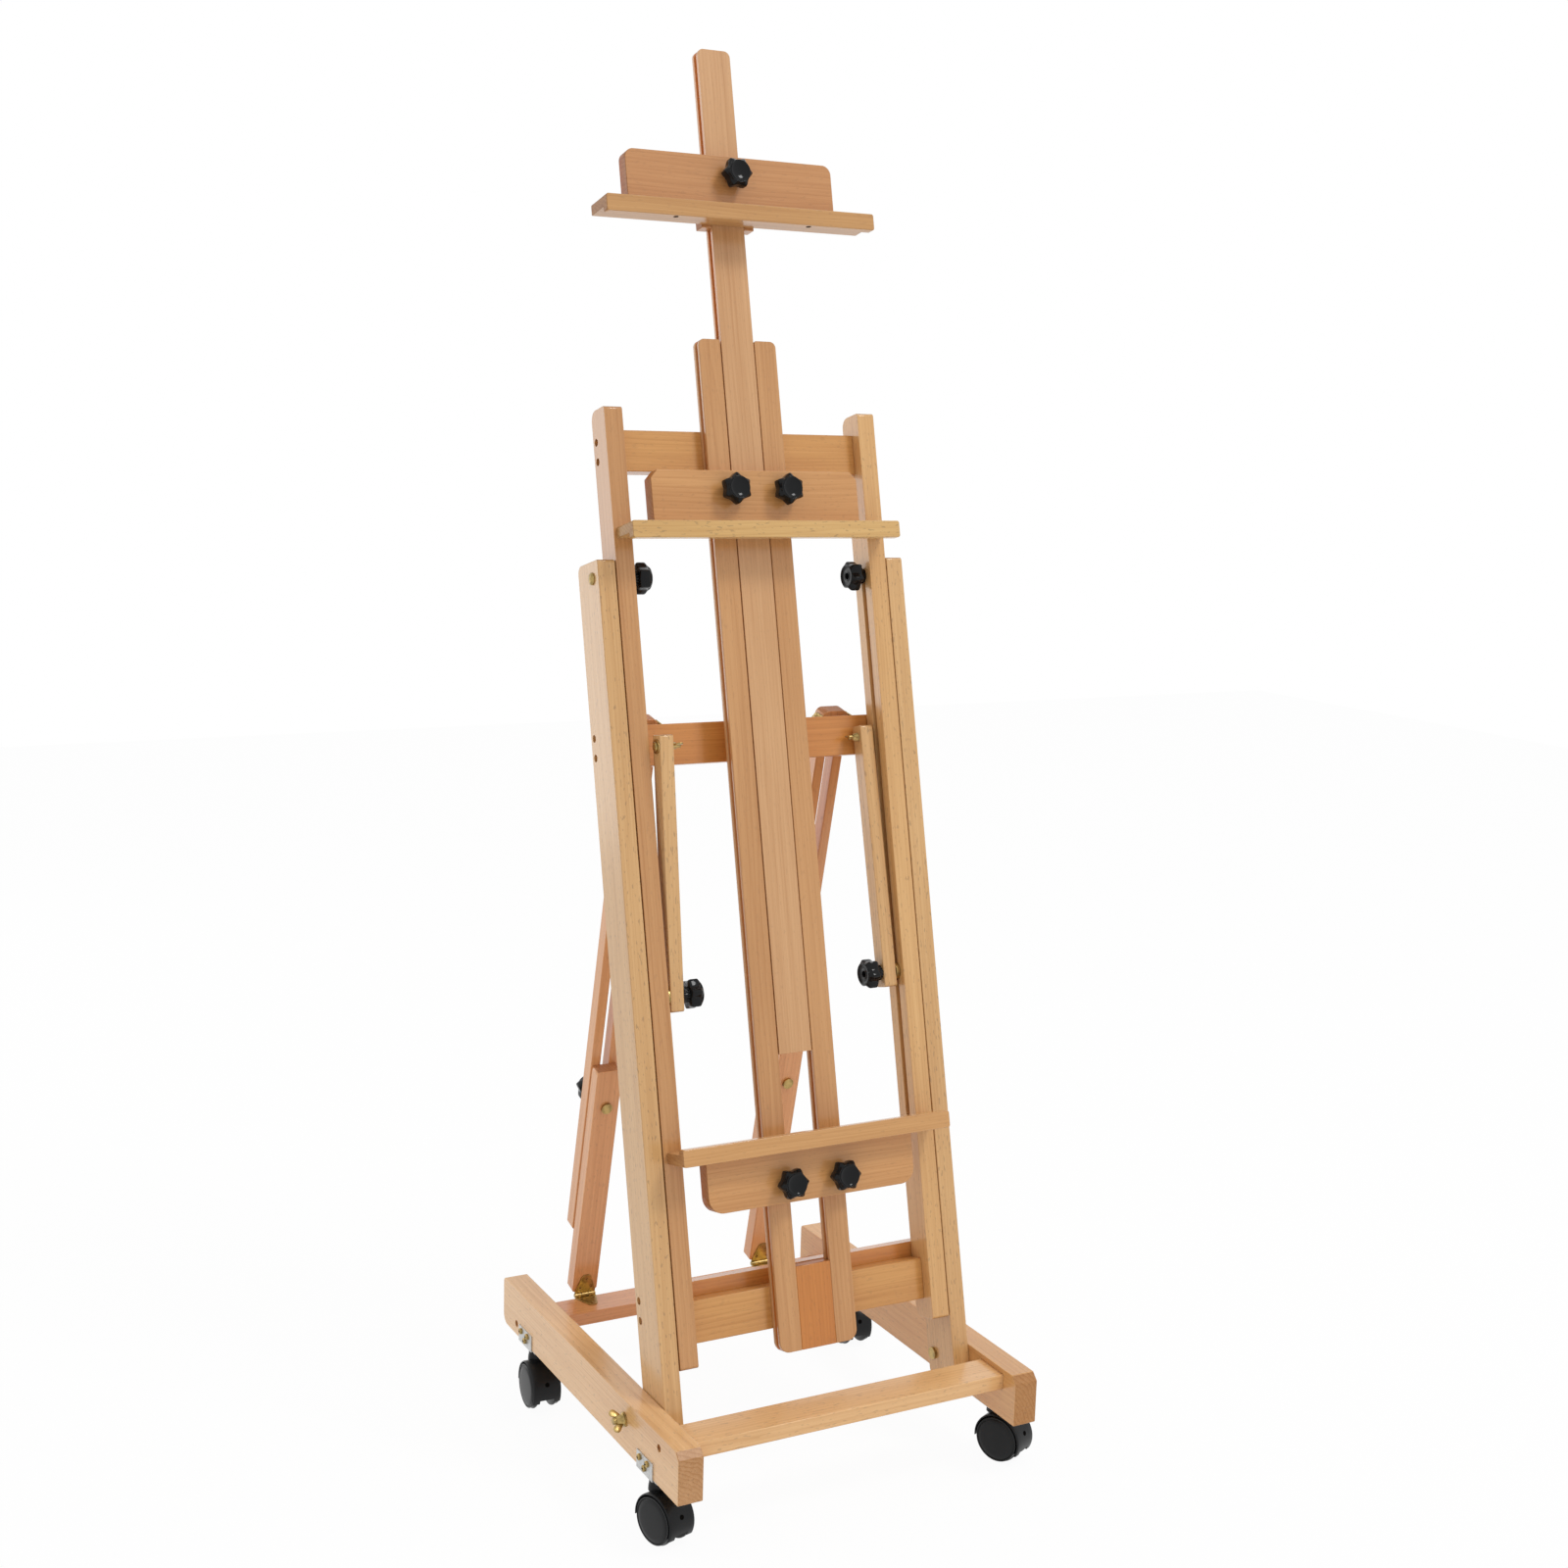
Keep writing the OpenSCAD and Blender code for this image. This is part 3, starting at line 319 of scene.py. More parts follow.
class Finish:
    """A material or a world whose nodes are added one by one."""

    def __init__(self, owner, shader="Principled BSDF"):
        owner.use_nodes = True
        self.owner = owner
        self.nodes = owner.node_tree.nodes
        self.links = owner.node_tree.links
        self.shader = self.nodes[shader]

    def add(self, kind, settings=None, inputs=None, output=0):
        """Adds a node, sets it and feeds it; returns one of its outputs as a Wire."""
        node = self.nodes.new(kind)
        for name, value in (settings or {}).items():
            setattr(node, name, value)
        for name, value in (inputs or {}).items():
            self.feed(node.inputs[name], value)
        return Wire(self, node.outputs[output])

    def feed(self, socket, value):
        """Links a Wire to a socket, or sets the socket to a plain value."""
        if isinstance(value, Wire):
            self.links.new(value.socket, socket)
        else:
            socket.default_value = value

    def set(self, **values):
        """Feeds the sockets of the shader by their names."""
        for name, value in values.items():
            self.feed(self.shader.inputs[name.replace("_", " ")], value)

    def fraction(self, value):
        """What is left of a value past its whole number."""
        return self.add("ShaderNodeMath", {"operation": "FRACT"}, {0: value})

    def clamp(self, value):
        """A value held between 0 and 1."""
        return self.add("ShaderNodeClamp", {}, {"Value": value})

    def steps(self, value, low, high):
        """0 below low, 1 above high, smooth between."""
        return self.add(
            "ShaderNodeMapRange",
            {"interpolation_type": "SMOOTHSTEP"},
            {"Value": value, "From Min": low, "From Max": high},
        )

    def spread(self, vector, scale):
        """A vector stretched by three factors."""
        return self.add("ShaderNodeMapping", {"vector_type": "POINT"}, {"Vector": vector, "Scale": scale})

    def noise(self, vector, scale=1.0, detail=2.0, roughness=0.5):
        """A cloudy pattern from 0 to 1."""
        return self.add(
            "ShaderNodeTexNoise",
            {"noise_dimensions": "3D"},
            {"Vector": vector, "Scale": scale, "Detail": detail, "Roughness": roughness},
        )

    def mix(self, factor, first, second, blend="MIX"):
        """Blends two colours."""
        return self.add(
            "ShaderNodeMix",
            {"data_type": "RGBA", "blend_type": blend},
            {"Factor": factor, 6: first, 7: second},
            2,
        )

    def bump(self, height, strength, distance):
        """A surface that rises and falls with a height."""
        return self.add("ShaderNodeBump", {}, {"Height": height, "Strength": strength, "Distance": distance})

    def seen(self):
        """1 on the rays that show the surroundings themselves, and 0 on those that light the easel."""
        rays = ("Is Camera Ray", "Is Glossy Ray", "Is Transmission Ray")
        return self.clamp(sum(self.add("ShaderNodeLightPath", {}, {}, ray) for ray in rays))


def opaque(colour):
    """The colour with a full alpha."""
    return (*colour, 1.0)


# ---- finishes ----


def beech_finish(name, wood):
    """Lacquered beech: growth lines, fine fibres and the small dark flecks of its rays."""
    finish = Finish(bpy.data.materials.new(name))
    grain = finish.add("ShaderNodeAttribute", {"attribute_name": "grain"}, {}, "Vector")
    stain = finish.add("ShaderNodeAttribute", {"attribute_name": "stain"}, {}, "Color")
    speck = finish.add("ShaderNodeAttribute", {"attribute_name": "stain"}, {}, "Alpha")
    end_grain = finish.add("ShaderNodeAttribute", {"attribute_name": "end_grain"}, {}, "Fac")

    # growth lines, as rings that wander along the board
    across, depth = (finish.add("ShaderNodeSeparateXYZ", {}, {"Vector": grain}, axis) for axis in ("X", "Y"))
    wander = finish.noise(finish.spread(grain, (7.0, 7.0, 1.1))) - 0.5
    ring = (across**2 + depth**2) ** 0.5 + wander * 0.030
    sway = finish.noise(finish.spread(grain, (60.0, 60.0, 4.0))) - 0.5
    year = finish.fraction(ring * GROWTH_LINES + sway * 2.2)

    # fibres, streaks and clouds drawn out along the grain, and the rays' short flecks
    fibre = finish.noise(finish.spread(grain, (520.0, 520.0, 9.0)), 1.0, 3.0, 0.65)
    streak = finish.noise(finish.spread(grain, (150.0, 150.0, 3.0)), 1.0, 2.0, 0.55)
    cloud = finish.noise(finish.spread(grain, (16.0, 16.0, 2.4)))
    fleck = finish.noise(finish.spread(grain, (420.0, 420.0, 120.0)), 1.0, 1.0, 0.4)
    fleck_mask = finish.steps(fleck, 0.645, 0.70)

    # darker late wood, then the flecks, the sawn ends and the board's tint with its painted recess shade
    late = year**3 * (0.25 + cloud * 0.9)
    line = late * (0.46 + end_grain * 0.6)
    tone = finish.clamp(0.30 + line + (fibre - 0.5) * 1.1 + (streak - 0.5) * 1.0 + (cloud - 0.5) * 0.9)
    wood_colour = finish.mix(tone, opaque(wood.light_wood), opaque(wood.dark_wood))
    flecked = finish.mix(fleck_mask * speck * 0.55, wood_colour, opaque(FLECK))
    shaded = finish.mix(end_grain, flecked, opaque(END_GRAIN), "MULTIPLY")
    # the stain attribute holds each board's tint, with painted shade in its grooves and holes
    tint_with_painted_shade = finish.mix(1.0, shaded, stain, "MULTIPLY")
    height = fibre * 0.7 - late * 0.3 - fleck_mask * speck * 0.5
    finish.set(
        Base_Color=tint_with_painted_shade,
        Roughness=0.36 + fibre * 0.16,
        Normal=finish.bump(height, 0.20, 0.0004),
        Specular_IOR_Level=0.12,
        Coat_Weight=wood.lacquer * (1.0 - end_grain * 0.8),
        Coat_Roughness=0.20,
    )
    return finish.owner


def plastic_finish(name, colour, rough, gloss):
    """Moulded black plastic with a faint mottle."""
    finish = Finish(bpy.data.materials.new(name))
    place = finish.add("ShaderNodeTexCoord", {}, {}, "Object")
    mottle = finish.noise(place, 900.0)
    flow = finish.noise(place, 45.0)
    pale = opaque([value * 1.9 for value in colour])
    finish.set(
        Base_Color=finish.mix(flow, opaque(colour), pale),
        Roughness=rough + mottle * 0.10,
        Normal=finish.bump(mottle, 0.08, 0.0002),
        Specular_IOR_Level=gloss,
    )
    return finish.owner


def metal_finish(name, colour, rough, worn):
    """Plated metal with soft stains and fine brushing."""
    finish = Finish(bpy.data.materials.new(name))
    place = finish.add("ShaderNodeTexCoord", {}, {}, "Object")
    stain = finish.noise(place, 130.0, 3.0, 0.6)
    brushing = finish.noise(finish.spread(place, (2600.0, 260.0, 2600.0)))
    dull = opaque([value * worn for value in colour])
    finish.set(
        Base_Color=finish.mix(finish.steps(stain, 0.35, 0.75), opaque(colour), dull),
        Metallic=1.0,
        Roughness=rough + stain * 0.14 + brushing * 0.08,
        Normal=finish.bump(brushing, 0.10, 0.0001),
    )
    return finish.owner


def shadow_finish(name, deep, shallow, speck_scale, rough):
    """Painted shade for the inside of a hole or a gap: a dark colour that shines nowhere."""
    finish = Finish(bpy.data.materials.new(name))
    place = finish.add("ShaderNodeTexCoord", {}, {}, "Object")
    speck = finish.noise(place, speck_scale, 2.0, 0.6)
    finish.set(
        Base_Color=finish.mix(speck, opaque(deep), opaque(shallow)),
        Roughness=rough,
        Specular_IOR_Level=0.0,
    )
    return finish.owner


def finish_named(name):
    """The material of that name, made when it is first asked for."""
    made = bpy.data.materials.get(name)
    if made:
        return made
    wood = bpy.context.scene.easel_wood
    hardware = bpy.context.scene.easel_hardware
    recipes = {
        "lacquered_beech": (beech_finish, wood),
        "knob_plastic": (plastic_finish, hardware.plastic, 0.05, 0.17),
        "caster_plastic": (plastic_finish, hardware.plastic, 0.26, 0.22),
        "aged_brass": (metal_finish, hardware.brass, 0.20, 0.45),
        "zinc": (metal_finish, hardware.zinc, 0.34, 0.82),
        "hole_shadow": (shadow_finish, (0.035, 0.018, 0.009), (0.10, 0.055, 0.028), 700.0, 0.8),
        "gap_shadow": (shadow_finish, (0.002, 0.002, 0.002), (0.008, 0.007, 0.006), 900.0, 0.7),
    }
    maker, *values = recipes[name]
    return maker(name, *values)


# ---- making pieces ----


def piece_from(shape, name, body, finish, replaced=(), smooth=32.0):
    """Turns a bmesh into a finished piece that rides on a body and stands for the replaced CAD nodes."""
    mesh = bpy.data.meshes.new(name)
    shape.to_mesh(mesh)
    shape.free()
    if smooth:
        mesh.shade_smooth()
        mesh.set_sharp_from_angle(angle=math.radians(smooth))
    mesh.materials.append(finish_named(finish))
    piece = bpy.data.objects.new(name, mesh)
    bpy.context.scene.collection.objects.link(piece)
    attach(piece, body)
    if replaced:
        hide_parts(*replaced)
    return piece


def axes_frame(origin, along, sideways):
    """A matrix that takes local +Z to along and local +X near sideways, at origin."""
    z_axis = along.normalized()
    x_axis = (sideways - z_axis * sideways.dot(z_axis)).normalized()
    y_axis = z_axis.cross(x_axis)
    turn = Matrix((x_axis, y_axis, z_axis)).transposed().to_4x4()
    return Matrix.Translation(origin) @ turn


def spin_profile(shape, profile, angle, steps, closed):
    """Spins a profile of (radius, height) points, in millimetres, about Z."""
    points = [shape.verts.new((radius / 1000, 0, height / 1000)) for radius, height in profile]
    followers = points[1:] + points[:1] if closed else points[1:]
    edges = [shape.edges.new(pair) for pair in zip(points, followers)]
    bmesh.ops.spin(
        shape,
        geom=points + edges,
        cent=(0, 0, 0),
        axis=(0, 0, 1),
        angle=angle,
        steps=steps,
        use_merge=not closed,
        use_duplicate=False,
    )


def spun(profile, steps):
    """A solid of revolution; the two ends of its profile lie on the axis."""
    shape = bmesh.new()
    spin_profile(shape, profile, 2 * math.pi, steps, False)
    bmesh.ops.remove_doubles(shape, verts=shape.verts, dist=1e-6)
    bmesh.ops.recalc_face_normals(shape, faces=shape.faces)
    return shape


def swept(profile, degrees):
    """A closed profile swept part of the way round, with its two ends filled."""
    shape = bmesh.new()
    spin_profile(shape, profile, math.radians(degrees), 36, True)
    open_edges = [edge for edge in shape.edges if len(edge.link_faces) < 2]
    bmesh.ops.holes_fill(shape, edges=open_edges, sides=0)
    bmesh.ops.recalc_face_normals(shape, faces=shape.faces)
    return shape


def join(shape, part, matrix):
    """Adds the bmesh part to shape, placed by matrix."""
    bmesh.ops.transform(part, matrix=matrix, verts=part.verts)
    mesh = bpy.data.meshes.new("part")
    part.to_mesh(mesh)
    part.free()
    shape.from_mesh(mesh)
    bpy.data.meshes.remove(mesh)


def shade_disc(radius, sunk, proud):
    """A thin dark disc of painted shade in the mouth of a hole."""
    return spun([(0, -sunk), (radius, -sunk), (radius, proud), (0, proud)], 20)


def round_edges(shape, edges, radius, segments, outer_corner="SHARP"):
    """Takes the sharpness off edges."""
    bmesh.ops.bevel(
        shape,
        geom=edges,
        offset=radius,
        offset_type="OFFSET",
        affect="EDGES",
        segments=segments,
        profile=0.5,
        material=-1,
        clamp_overlap=True,
        miter_outer=outer_corner,
    )


def convex_edges(shape, degrees):
    """The edges that stand out by more than an angle."""
    return [
        edge
        for edge in shape.edges
        if len(edge.link_faces) == 2 and edge.calc_face_angle_signed(0.0) > math.radians(degrees)
    ]


def welded(node):
    """A bmesh of a CAD node with its loose triangles joined."""
    shape = bmesh.new()
    shape.from_mesh(frame["nodes"][node].data)
    bmesh.ops.remove_doubles(shape, verts=shape.verts, dist=2e-6)
    return shape


def merged_copy(node):
    """A bmesh of a CAD node with its flat faces made whole."""
    shape = welded(node)
    bmesh.ops.dissolve_limit(
        shape,
        angle_limit=math.radians(0.4),
        use_dissolve_boundaries=False,
        verts=shape.verts,
        edges=shape.edges,
    )
    return shape


def islands(node):
    """The separate solids of a CAD node, each as a list of its corners."""
    shape = welded(node)
    seen = set()
    found = []
    for start in shape.verts:
        if start in seen:
            continue
        seen.add(start)
        waiting = [start]
        points = []
        while waiting:
            vert = waiting.pop()
            points.append(vert.co.copy())
            for edge in vert.link_edges:
                other = edge.other_vert(vert)
                if other not in seen:
                    seen.add(other)
                    waiting.append(other)
        found.append(points)
    shape.free()
    return found


def corners(node):
    """The places of a CAD node's corners."""
    return [vert.co for vert in frame["nodes"][node].data.vertices]


def reach(points, along):
    """How far points go each way along a direction."""
    places = [point.dot(along) for point in points]
    return min(places), max(places)


def middle(points):
    """The mean of some points."""
    return sum((Vector(point) for point in points), Vector()) / len(points)


def at_reach(place, along, distance):
    """The point on the line through place whose distance along the direction is given."""
    return place + along * (distance - place.dot(along))


def outline_edges(shape):
    """The sharp convex edges of a board, without the rims of its small holes."""
    sharp = convex_edges(shape, 38)
    leader = {}

    def find(vert):
        """The corner that stands for a whole run of joined edges."""
        while leader.get(vert, vert) is not vert:
            vert = leader[vert]
        return vert

    for edge in sharp:
        first, second = map(find, edge.verts)
        if first is not second:
            leader[first] = second
    groups = {}
    for edge in sharp:
        groups.setdefault(find(edge.verts[0]), []).append(edge)
    kept = []
    for edges in groups.values():
        places = [vert.co for edge in edges for vert in edge.verts]
        spans = [reach(places, way) for way in (EAST, NORTH, UP)]
        if max(high - low for low, high in spans) > SMALL_HOLE:
            kept.extend(edges)
    return kept


def store_grain(piece, along, face, seed, stain, recess_shade):
    """Keeps a board's own coordinates, its tint with painted shade in its grooves and holes, and its sawn ends on
    its mesh.
    """
    mesh = piece.data
    side = face.cross(along)
    places = [vert.co for vert in mesh.vertices]
    centre = middle(places)

    # each board is sawn from its own place in the tree
    shift = Vector((0.03 + 0.13 * ((seed * 0.618) % 1), 0.02 + 0.10 * ((seed * 0.414) % 1), seed * 3.7))
    grain = mesh.attributes.new("grain", "FLOAT_VECTOR", "POINT")
    for place, cell in zip(places, grain.data):
        offset = place - centre
        cell.vector = Vector((offset.dot(side), offset.dot(face), offset.dot(along))) + shift

    # corners deeper than a groove's lip, in grooves and holes, take painted shade: the tint times the recess shade
    *tint, speck = stain
    painted_shade_tint = [part * shade for part, shade in zip(tint, recess_shade)]
    spans = [(way, *reach(places, way)) for way in (side, face)]
    tints_with_painted_shade = mesh.attributes.new("stain", "FLOAT_COLOR", "POINT")
    for place, cell in zip(places, tints_with_painted_shade.data):
        buried = all(low + GROOVE_LIP < place.dot(way) < high - GROOVE_LIP for way, low, high in spans)
        cell.color = (*(painted_shade_tint if buried else tint), speck)

    ends = mesh.attributes.new("end_grain", "FLOAT", "FACE")
    for polygon, cell in zip(mesh.polygons, ends.data):
        cell.value = 1.0 if abs(polygon.normal.dot(along)) > SQUARE_CUT else 0.0


def shade_rounds(mesh):
    """Smooth shading on the narrow faces of rounded edges and corners; wider faces stay flat."""
    mesh.set_sharp_from_angle(angle=math.radians(40))
    for polygon in mesh.polygons:
        ends = [[mesh.vertices[index].co for index in pair] for pair in polygon.edge_keys]
        longest = max((first - second).length for first, second in ends)
        polygon.use_smooth = polygon.area < ROUND_WIDTH * longest


def board(node, along, face, seed, stain, recess_shade=RECESS_SHADE):
    """One board: the CAD solid with sanded edges and a grain that runs along it."""
    shape = merged_copy(node)
    round_edges(shape, outline_edges(shape), bpy.context.scene.easel_wood.edge_round, 2, "ARC")
    piece = piece_from(shape, node + "_board", BODY_OF[node], "lacquered_beech", (node,), 0)
    shade_rounds(piece.data)
    store_grain(piece, along, face, seed, stain, recess_shade)


# ---- knobs ----


def star_profile(bored):
    """Half the outline of a star knob, from its seat to its face."""
    neck = [(0, 0), (9.0, 0), (KNOB_NECK_R, 0.7), (KNOB_NECK_R, 4.0), (KNOB_NECK_R, 7.4), (10.2, 8.0)]
    lobes = [(15.5, 8.0), (18.4, 8.6), (19.3, 9.8), (19.6, 11.4), (19.6, 19.2), (19.2, 20.6), (18.3, 21.6)]
    face = [(16.2, 23.4), (14.8, 24.5), (14.2, 24.9), (13.6, KNOB_RISE)]
    face += [(13.1, 24.8), (12.6, 24.2), (11.4, 23.3)]
    if bored:
        centre = [(9.0, 22.9), (7.0, 23.0), (5.6, 23.5), (4.7, 23.6), (4.1, 23.2), (4.1, 16.2), (0, 16.2)]
    else:
        centre = [(9.2, 22.3), (6.4, 21.6), (3.2, 21.2), (0, 21.1)]
    return neck + lobes + face + centre


def lobed(shape):
    """Draws the rim of a spun knob in between its lobes, and ribs its neck."""
    for vert in shape.verts:
        radius = math.hypot(vert.co.x, vert.co.y) * 1000
        angle = math.atan2(vert.co.y, vert.co.x)
        valley = abs(math.sin(KNOB_LOBES / 2 * angle)) ** 1.25
        weight = min(1.0, max(0.0, (radius - KNOB_DISH_R) / 3.2))
        factor = 1.0 - KNOB_VALLEY * valley * weight * weight * (3 - 2 * weight)
        if abs(radius - KNOB_NECK_R) < 0.1:
            factor = 1.0 + KNOB_RIB_DEPTH * math.cos(KNOB_NECK_RIBS * angle)
        vert.co.x *= factor
        vert.co.y *= factor


def star_knob(node, outward, sideways, turn, bored=True):
    """A moulded star knob in place of a CAD knob; one that isn't bored has a stud."""
    points = corners(node)
    seat = reach(points, outward)[1] - KNOB_RISE / 1000
    place = at_reach(Vector(JOINTS[node + "_spin"]["pos_m"]), outward, seat)
    shape = spun(star_profile(bored), 96)
    lobed(shape)
    matrix = axes_frame(place, outward, sideways) @ Matrix.Rotation(math.radians(turn), 4, "Z")
    bmesh.ops.transform(shape, matrix=matrix, verts=shape.verts)
    piece_from(shape, node + "_star", BODY_OF[node], "knob_plastic", (node,), 38)
    if not bored:
        length = (seat - reach(points, outward)[0]) * 1000
        rod = [(0, -length), (BOLT_R - 0.6, -length), (BOLT_R, 0.6 - length), (BOLT_R, 0.2), (0, 0.2)]
        stud = spun(rod, 24)
        bmesh.ops.transform(stud, matrix=matrix, verts=stud.verts)
        piece_from(stud, node + "_stud", BODY_OF[node], "aged_brass")


class EASEL_OT_star_knobs(bpy.types.Operator):
    """Star knobs of the holders, frames, arms and legs"""

    bl_idname = "easel.star_knobs"
    bl_label = "Star knobs"

    def execute(self, context):
        star_knob("top_holder_knob", -POST_BACK, EAST, 0, False)
        for holder, turns in (("middle", (30, 28)), ("bottom", (3, 0))):
            for side, turn in zip(("left", "right"), turns):
                star_knob(f"{holder}_holder_{side}_knob", -POST_BACK, EAST, turn, False)
        for side, inward in (("left", EAST), ("right", -EAST)):
            star_knob(side + "_tilt_knob", inward, POST_UP, 10)
            star_knob(side + "_arm_knob", inward, POST_UP, 22)
            star_knob(side + "_leg_knob", LEG_BACK, EAST, 15)
        return {"FINISHED"}


# ---- casters ----


def wheel_profile():
    """Half the outline of a wheel, from the middle of its inner face to the middle of its cap."""
    tread = [(0, WHEEL_IN), (28.0, WHEEL_IN), (29.4, 11.0), (WHEEL_R, 12.2), (WHEEL_R, 13.8)]
    tread += [(29.2, 14.6), (28.8, 15.4)]
    rim = [(28.8, 18.0), (28.5, 18.9), (27.7, 19.3), (26.9, 19.1), (26.4, 18.5), (26.0, 18.4), (25.5, 18.9)]
    cap = [(24.6, 19.4), (20.0, 19.7), (11.0, 19.9), (0, WHEEL_OUT)]
    return tread + rim + cap


def caster_hood(name, centre, stem, axle):
    """The hood over a pair of wheels, with its web between them and its swivel neck."""
    back = (Vector((stem.x, stem.y, 0)) - Vector((centre.x, centre.y, 0))).normalized()
    droop = math.radians(5)
    matrix = axes_frame(centre, axle, back * math.cos(droop) - UP * math.sin(droop))
    shape = bmesh.new()
    side = [(HOOD_IN_R, HOOD_SIDE_IN), (HOOD_IN_R, 17.6), (30.3, 18.5), (HOOD_IN_R, 19.0), (31.5, 18.8)]
    side += [(32.2, 17.8), (HOOD_R, 16.4), (HOOD_R, HOOD_SIDE_IN)]
    join(shape, swept(side, 213), matrix)
    join(shape, swept([(radius, -height) for radius, height in side], 213), matrix)
    web_out = HOOD_SIDE_IN + 0.4
    web = [(3.2, -web_out), (HOOD_IN_R, -web_out), (HOOD_R, -HOOD_SIDE_IN)]
    web += [(radius, -height) for radius, height in reversed(web)]
    join(shape, swept(web, 203), matrix)
    head = reach(corners(name), UP)[1] * 1000
    neck_top = reach(corners("caster_plates"), UP)[0] * 1000 - 0.3
    neck = [(0, 50), (5.2, 50), (5.2, 56.5), (11.0, 58.6), (10.6, 65.0), (10.0, 66.4), (10.0, neck_top)]
    neck += [(BOLT_R, neck_top), (BOLT_R, head - 0.5), (BOLT_R - 0.5, head), (0, head)]
    join(shape, spun(neck, 32), Matrix.Translation((stem.x, stem.y, 0)))
    piece_from(shape, name + "_shell", BODY_OF[name], "caster_plastic", (name,), 34)
    # a dark disc of painted shade where the hood's front hole is
    hood_hole_shade(name, centre, back, axle)


def hood_hole_shade(name, centre, back, axle):
    """Painted shade of the small round hole in the front of a hood: a dark disc on its face."""
    outward = UP * math.sin(HOOD_HOLE_RISE) - back * math.cos(HOOD_HOLE_RISE)
    hole = shade_disc(HOOD_HOLE_R, 0.4, 0.08)
    matrix = axes_frame(centre + outward * HOOD_R / 1000, outward, axle)
    bmesh.ops.transform(hole, matrix=matrix, verts=hole.verts)
    piece_from(hole, name + "_hole", BODY_OF[name], "gap_shadow")


def caster_wheels(name, centre, axle):
    """A pair of capped wheels on their axle."""
    shape = bmesh.new()
    for outward in (axle, -axle):
        join(shape, spun(wheel_profile(), 64), axes_frame(centre, outward, UP))
    rod = [(0, -WHEEL_IN), (AXLE_R, -WHEEL_IN), (AXLE_R, WHEEL_IN), (0, WHEEL_IN)]
    join(shape, spun(rod, 24), axes_frame(centre, axle, UP))
    piece_from(shape, name + "_pair", BODY_OF[name], "caster_plastic", (name,), 34)


class EASEL_OT_casters(bpy.types.Operator):
    """Four twin-wheel casters"""

    bl_idname = "easel.casters"
    bl_label = "Casters"

    def execute(self, context):
        for corner in ("front_left", "front_right", "rear_left", "rear_right"):
            spin = JOINTS[corner + "_wheel_spin"]
            centre = Vector(spin["pos_m"])
            stem = Vector(JOINTS[corner + "_caster_swivel"]["pos_m"])
            axle = Vector(spin["axis"]).normalized()
            caster_hood(corner + "_caster_hood", centre, stem, axle)
            caster_wheels(corner + "_caster_wheels", centre, axle)
        return {"FINISHED"}


# ---- bolts, nuts, screws, plates and hinges ----


def wing_shape(hub_r, hub_rise, tip_r, tip_rise):
    """One wing of a wing nut in its own plane, with a round ear."""
    ear_r = (tip_r - hub_r) * 0.55
    ear_x = tip_r - ear_r
    ear_z = tip_rise - ear_r
    outline = [(hub_r * 0.5, 0.6), (hub_r * 1.02, 1.4)]
    for degrees in range(-40, 171, 15):
        angle = math.radians(degrees)
        outline.append((ear_x + ear_r * math.cos(angle), ear_z + ear_r * math.sin(angle)))
    outline.append((hub_r * 0.5, hub_rise - 0.4))
    shape = bmesh.new()
    points = [shape.verts.new((x / 1000, -WING_THICKNESS / 2000, z / 1000)) for x, z in outline]
    face = shape.faces.new(points)
    extruded = bmesh.ops.extrude_face_region(shape, geom=[face], use_keep_orig=True)
    moved = [item for item in extruded["geom"] if isinstance(item, bmesh.types.BMVert)]
    bmesh.ops.translate(shape, vec=(0, WING_THICKNESS / 1000, 0), verts=moved)
    bmesh.ops.recalc_face_normals(shape, faces=shape.faces)
    rims = [edge for edge in shape.edges if edge.calc_face_angle(0.0) > math.radians(60)]
    round_edges(shape, rims, 0.0006, 2)
    return shape


def wing_nut(shape, place, outward, bolt_r, tip_r, tip_rise, turn):
    """A wing nut that stands on place, with its bolt's end showing."""
    hub_r = bolt_r * 1.9
    hub_rise = bolt_r * 2.4
    hub = [(0, 0), (hub_r, 0), (hub_r, 0.8), (hub_r * 0.86, 2.0), (hub_r * 0.72, hub_rise - 0.5)]
    hub += [(hub_r * 0.66, hub_rise), (bolt_r, hub_rise), (bolt_r, hub_rise + 2.2)]
    hub += [(bolt_r - 0.7, hub_rise + 2.9), (0, hub_rise + 2.9)]
    matrix = axes_frame(place, outward, POST_UP) @ Matrix.Rotation(math.radians(turn), 4, "Z")
    join(shape, spun(hub, 32), matrix)
    for half_turn in (0, math.pi):
        wing = wing_shape(hub_r * 0.8, hub_rise, tip_r, tip_rise)
        join(shape, wing, matrix @ Matrix.Rotation(half_turn, 4, "Z"))


def washer(shape, place, outward):
    """A washer that lies on place."""
    ring = [(0, 0), (WASHER_R, 0), (WASHER_R, WASHER_RISE * 0.8)]
    ring += [(WASHER_R - 0.3, WASHER_RISE), (0, WASHER_RISE)]
    join(shape, spun(ring, 36), axes_frame(place, outward, UP))


def bolt(shape, place, outward, radius, length, head_r, head_rise):
    """A round-headed bolt whose head sits on place and whose shank goes back from it."""
    profile = [(0, -length), (radius - 0.5, -length), (radius, 0.5 - length), (radius, 0), (head_r, 0)]
    brim = head_rise * 0.22
    profile.append((head_r, brim))
    for degrees in range(15, 90, 15):
        angle = math.radians(degrees)
        profile.append((head_r * math.cos(angle), brim + (head_rise - brim) * math.sin(angle)))
    profile.append((0, head_rise))
    join(shape, spun(profile, 32), axes_frame(place, outward, UP))


def metal(node, finish="aged_brass"):
    """A CAD metal part with its sharp edges broken."""
    shape = merged_copy(node)
    round_edges(shape, convex_edges(shape, 50), METAL_EDGE, 1)
    piece_from(shape, node + "_metal", BODY_OF[node], finish, (node,), 30)


